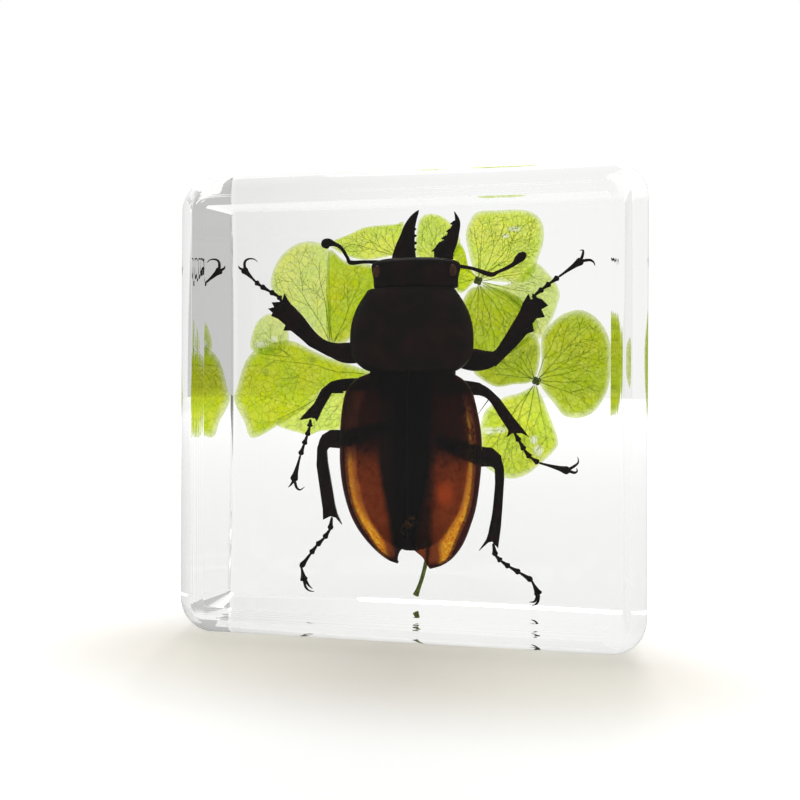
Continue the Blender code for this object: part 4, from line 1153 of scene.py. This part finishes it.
KNOBS_AT = {"a": (6.0, 30.75), "b": (11.5, 21.25)}
KNOBS_Y, KNOBS_OUT, KNOB_SIZE = 6.15, 0.22, (0.22, 0.2, 0.22)
KNOB_TURNS = np.arange(4) * math.pi / 2 + 0.4
for letter, (x, z) in KNOBS_AT.items():
    around = np.stack([x + KNOBS_OUT * np.cos(KNOB_TURNS), z + KNOBS_OUT * np.sin(KNOB_TURNS)], 1)
    knobs = [ball(centre, KNOB_SIZE, rows=12, columns=16) for centre in at_depth(around, KNOBS_Y)]
    put(f"floret_knob_{letter}", joined(knobs), plant, (f"floret_centre_{letter}",))

STEM = (                    # x, y, z and width
    (1.45, 5.9, 6.2, 0.42), (1.25, 6.1, 4.4, 0.4), (0.85, 6.2, 2.6, 0.38), (0.45, 6.2, 1.4, 0.42),
    (0.2, 6.2, 0.75, 0.6),
)
stem = limb(STEM, rows=60, columns=18, flatness=0.9, rounding=0.02)
put("cut_stem", stem, plant, ("stem",))
print(len(KNOBS_AT), "floret centres and a stem")

# %% [markdown]
# ## Floor and light
# The block stands on pale card in a bright room. The light comes from everywhere but most from behind, as on
# a light table, and the room is dimmer beside the block and on the viewer's side. Seen directly, room and
# card are plain white. The rays that the block bends or mirrors meet a dimmer card behind it, beside it and
# before it, and a dimmer room at the sides and in front. That gives the edges their grey bands and keeps the
# beetle dark.

# %% Floor
FLOOR_HALF = 900.0
FLOOR_DROP = 0.02           # the card lies just under the block's foot
GLOW = 0.52                 # light that the card sends out by itself, as a lit sweep does
SHADE = (0.0, -8.0, 0.0), (36.0, 6.0, 1.0)          # centre and size of the block's soft shade in front of it
SHADE_GLOW = (0.7, 0.67, 0.61, 1)                   # the colour of the card's own light there
DIM_BEHIND, DIM_ASIDE, DIM_BEFORE = 0.31, 0.8, 0.7  # how much less light the block gets from the card
CARD_SIDE_SLOPE = 0.9       # the dimmer sides lie beyond two lines that spread towards the back,
CARD_SIDE = (4.0, 24.0)     # and are reached over this distance
CARD_BEFORE = (-8.0, -14.0)  # the dimmer part before the block is reached over this one
CARD_FAR = (180.0, 600.0)   # and from here on backwards the card is bright again

floor_mesh = bpy.data.meshes.new("floor")
corners = np.array([(-1, -1, 0), (1, -1, 0), (1, 1, 0), (-1, 1, 0)]) * FLOOR_HALF - (0, 0, FLOOR_DROP)
floor_mesh.from_pydata((corners * MM).tolist(), [], [[0, 1, 2, 3]])
floor = bpy.data.objects.new("floor", floor_mesh)
bpy.context.scene.collection.objects.link(floor)
print("card", 2 * FLOOR_HALF, "mm wide")

# %% Floor finish
card, tree, shader = finish_named(
    "white card, matt", Roughness=0.8, Specular_IOR_Level=0.0, Emission_Strength=GLOW)
place = millimetres(tree)
lit = band(tree, from_oval(tree, place, *SHADE), 0.3, 1.5)
card_x, card_y, _ = numbers_of(tree, place)
aside = minus(tree, without_sign(tree, card_x), times(tree, card_y, CARD_SIDE_SLOPE))
dimmed = band(tree, card_y, *CARD_FAR, DIM_BEHIND, 0.0)
dimmed = larger(tree, band(tree, aside, *CARD_SIDE, 0.0, DIM_ASIDE), dimmed)
dimmed = larger(tree, dimmed, band(tree, card_y, *CARD_BEFORE, 0.0, DIM_BEFORE))
seen = add(tree, "ShaderNodeLightPath").outputs["Is Camera Ray"]
unseen_dimmed = times(tree, minus(tree, 1.0, seen), dimmed)
shown = grey_of(tree, minus(tree, 1.0, unseen_dimmed))
card_white = mix(tree, lit, linear("efebe3"), linear("ffffff"))
card_light = mix(tree, lit, SHADE_GLOW, (1, 1, 1, 1))
tree.links.new(mix(tree, 1.0, card_white, shown, "MULTIPLY"), shader.inputs["Base Color"])
tree.links.new(mix(tree, 1.0, card_light, shown, "MULTIPLY"), shader.inputs["Emission Color"])
floor_mesh.materials.append(card)
print("the card glows with a strength of", GLOW)

# %% Room
RIGHT_WALL, DIM_RIGHT = (0.30, 0.44), 0.6   # where the room grows dimmer, and the light that is left there
LEFT_WALL, DIM_LEFT = (-0.45, -0.8), 0.5
LEFT_FALL, FALL_TO = (-0.6, 0.0), 0.86      # a slow fall towards the left before that
OVERHEAD = (0.35, 0.6)                      # above this height the sides are bright too
FRONT_WALL, DIM_FRONT = (0.1, -0.3), 0.24   # the room on the viewer's side

world = bpy.data.worlds.new("bright backdrop, dim room")
bpy.context.scene.world = world
world.use_nodes = True
tree = world.node_tree
background = tree.nodes["Background"]
side_on, front_on, up_on = numbers_of(tree, add(tree, "ShaderNodeTexCoord").outputs["Generated"])
right = band(tree, side_on, *RIGHT_WALL, 1.0, DIM_RIGHT)
left = band(tree, side_on, *LEFT_WALL, 1.0, DIM_LEFT)
fall = band(tree, side_on, *LEFT_FALL, FALL_TO, 1.0)
sides = times(tree, times(tree, right, left), fall)
above = band(tree, up_on, *OVERHEAD)
sides = plus(tree, times(tree, above, minus(tree, 1.0, sides)), sides)
bright = times(tree, sides, band(tree, front_on, *FRONT_WALL, 1.0, DIM_FRONT))
seen = add(tree, "ShaderNodeLightPath").outputs["Is Camera Ray"]
tree.links.new(mix(tree, seen, grey_of(tree, bright), (1, 1, 1, 1)), background.inputs["Color"])
background.inputs["Strength"].default_value = 1.0
print("the room behind the viewer has", DIM_FRONT, "of the light behind the block")

# %% Lamp
LAMP_SIZE, LAMP_AT, LAMP_LEAN = (300.0, 200.0), (50.0, 280.0, 260.0), -48.0
LAMP_POWER = 0.6            # watts

lamp_data = bpy.data.lights.new("softbox", "AREA")
lamp_data.shape = "RECTANGLE"
lamp_data.size, lamp_data.size_y = np.array(LAMP_SIZE) * MM
lamp_data.energy = LAMP_POWER
lamp = bpy.data.objects.new("softbox", lamp_data)
lamp.location = np.array(LAMP_AT) * MM
lamp.rotation_euler = (math.radians(LAMP_LEAN), 0, 0)
bpy.context.scene.collection.objects.link(lamp)
bpy.context.scene.view_settings.view_transform = "Standard"
print("one softbox of", LAMP_POWER, "W")
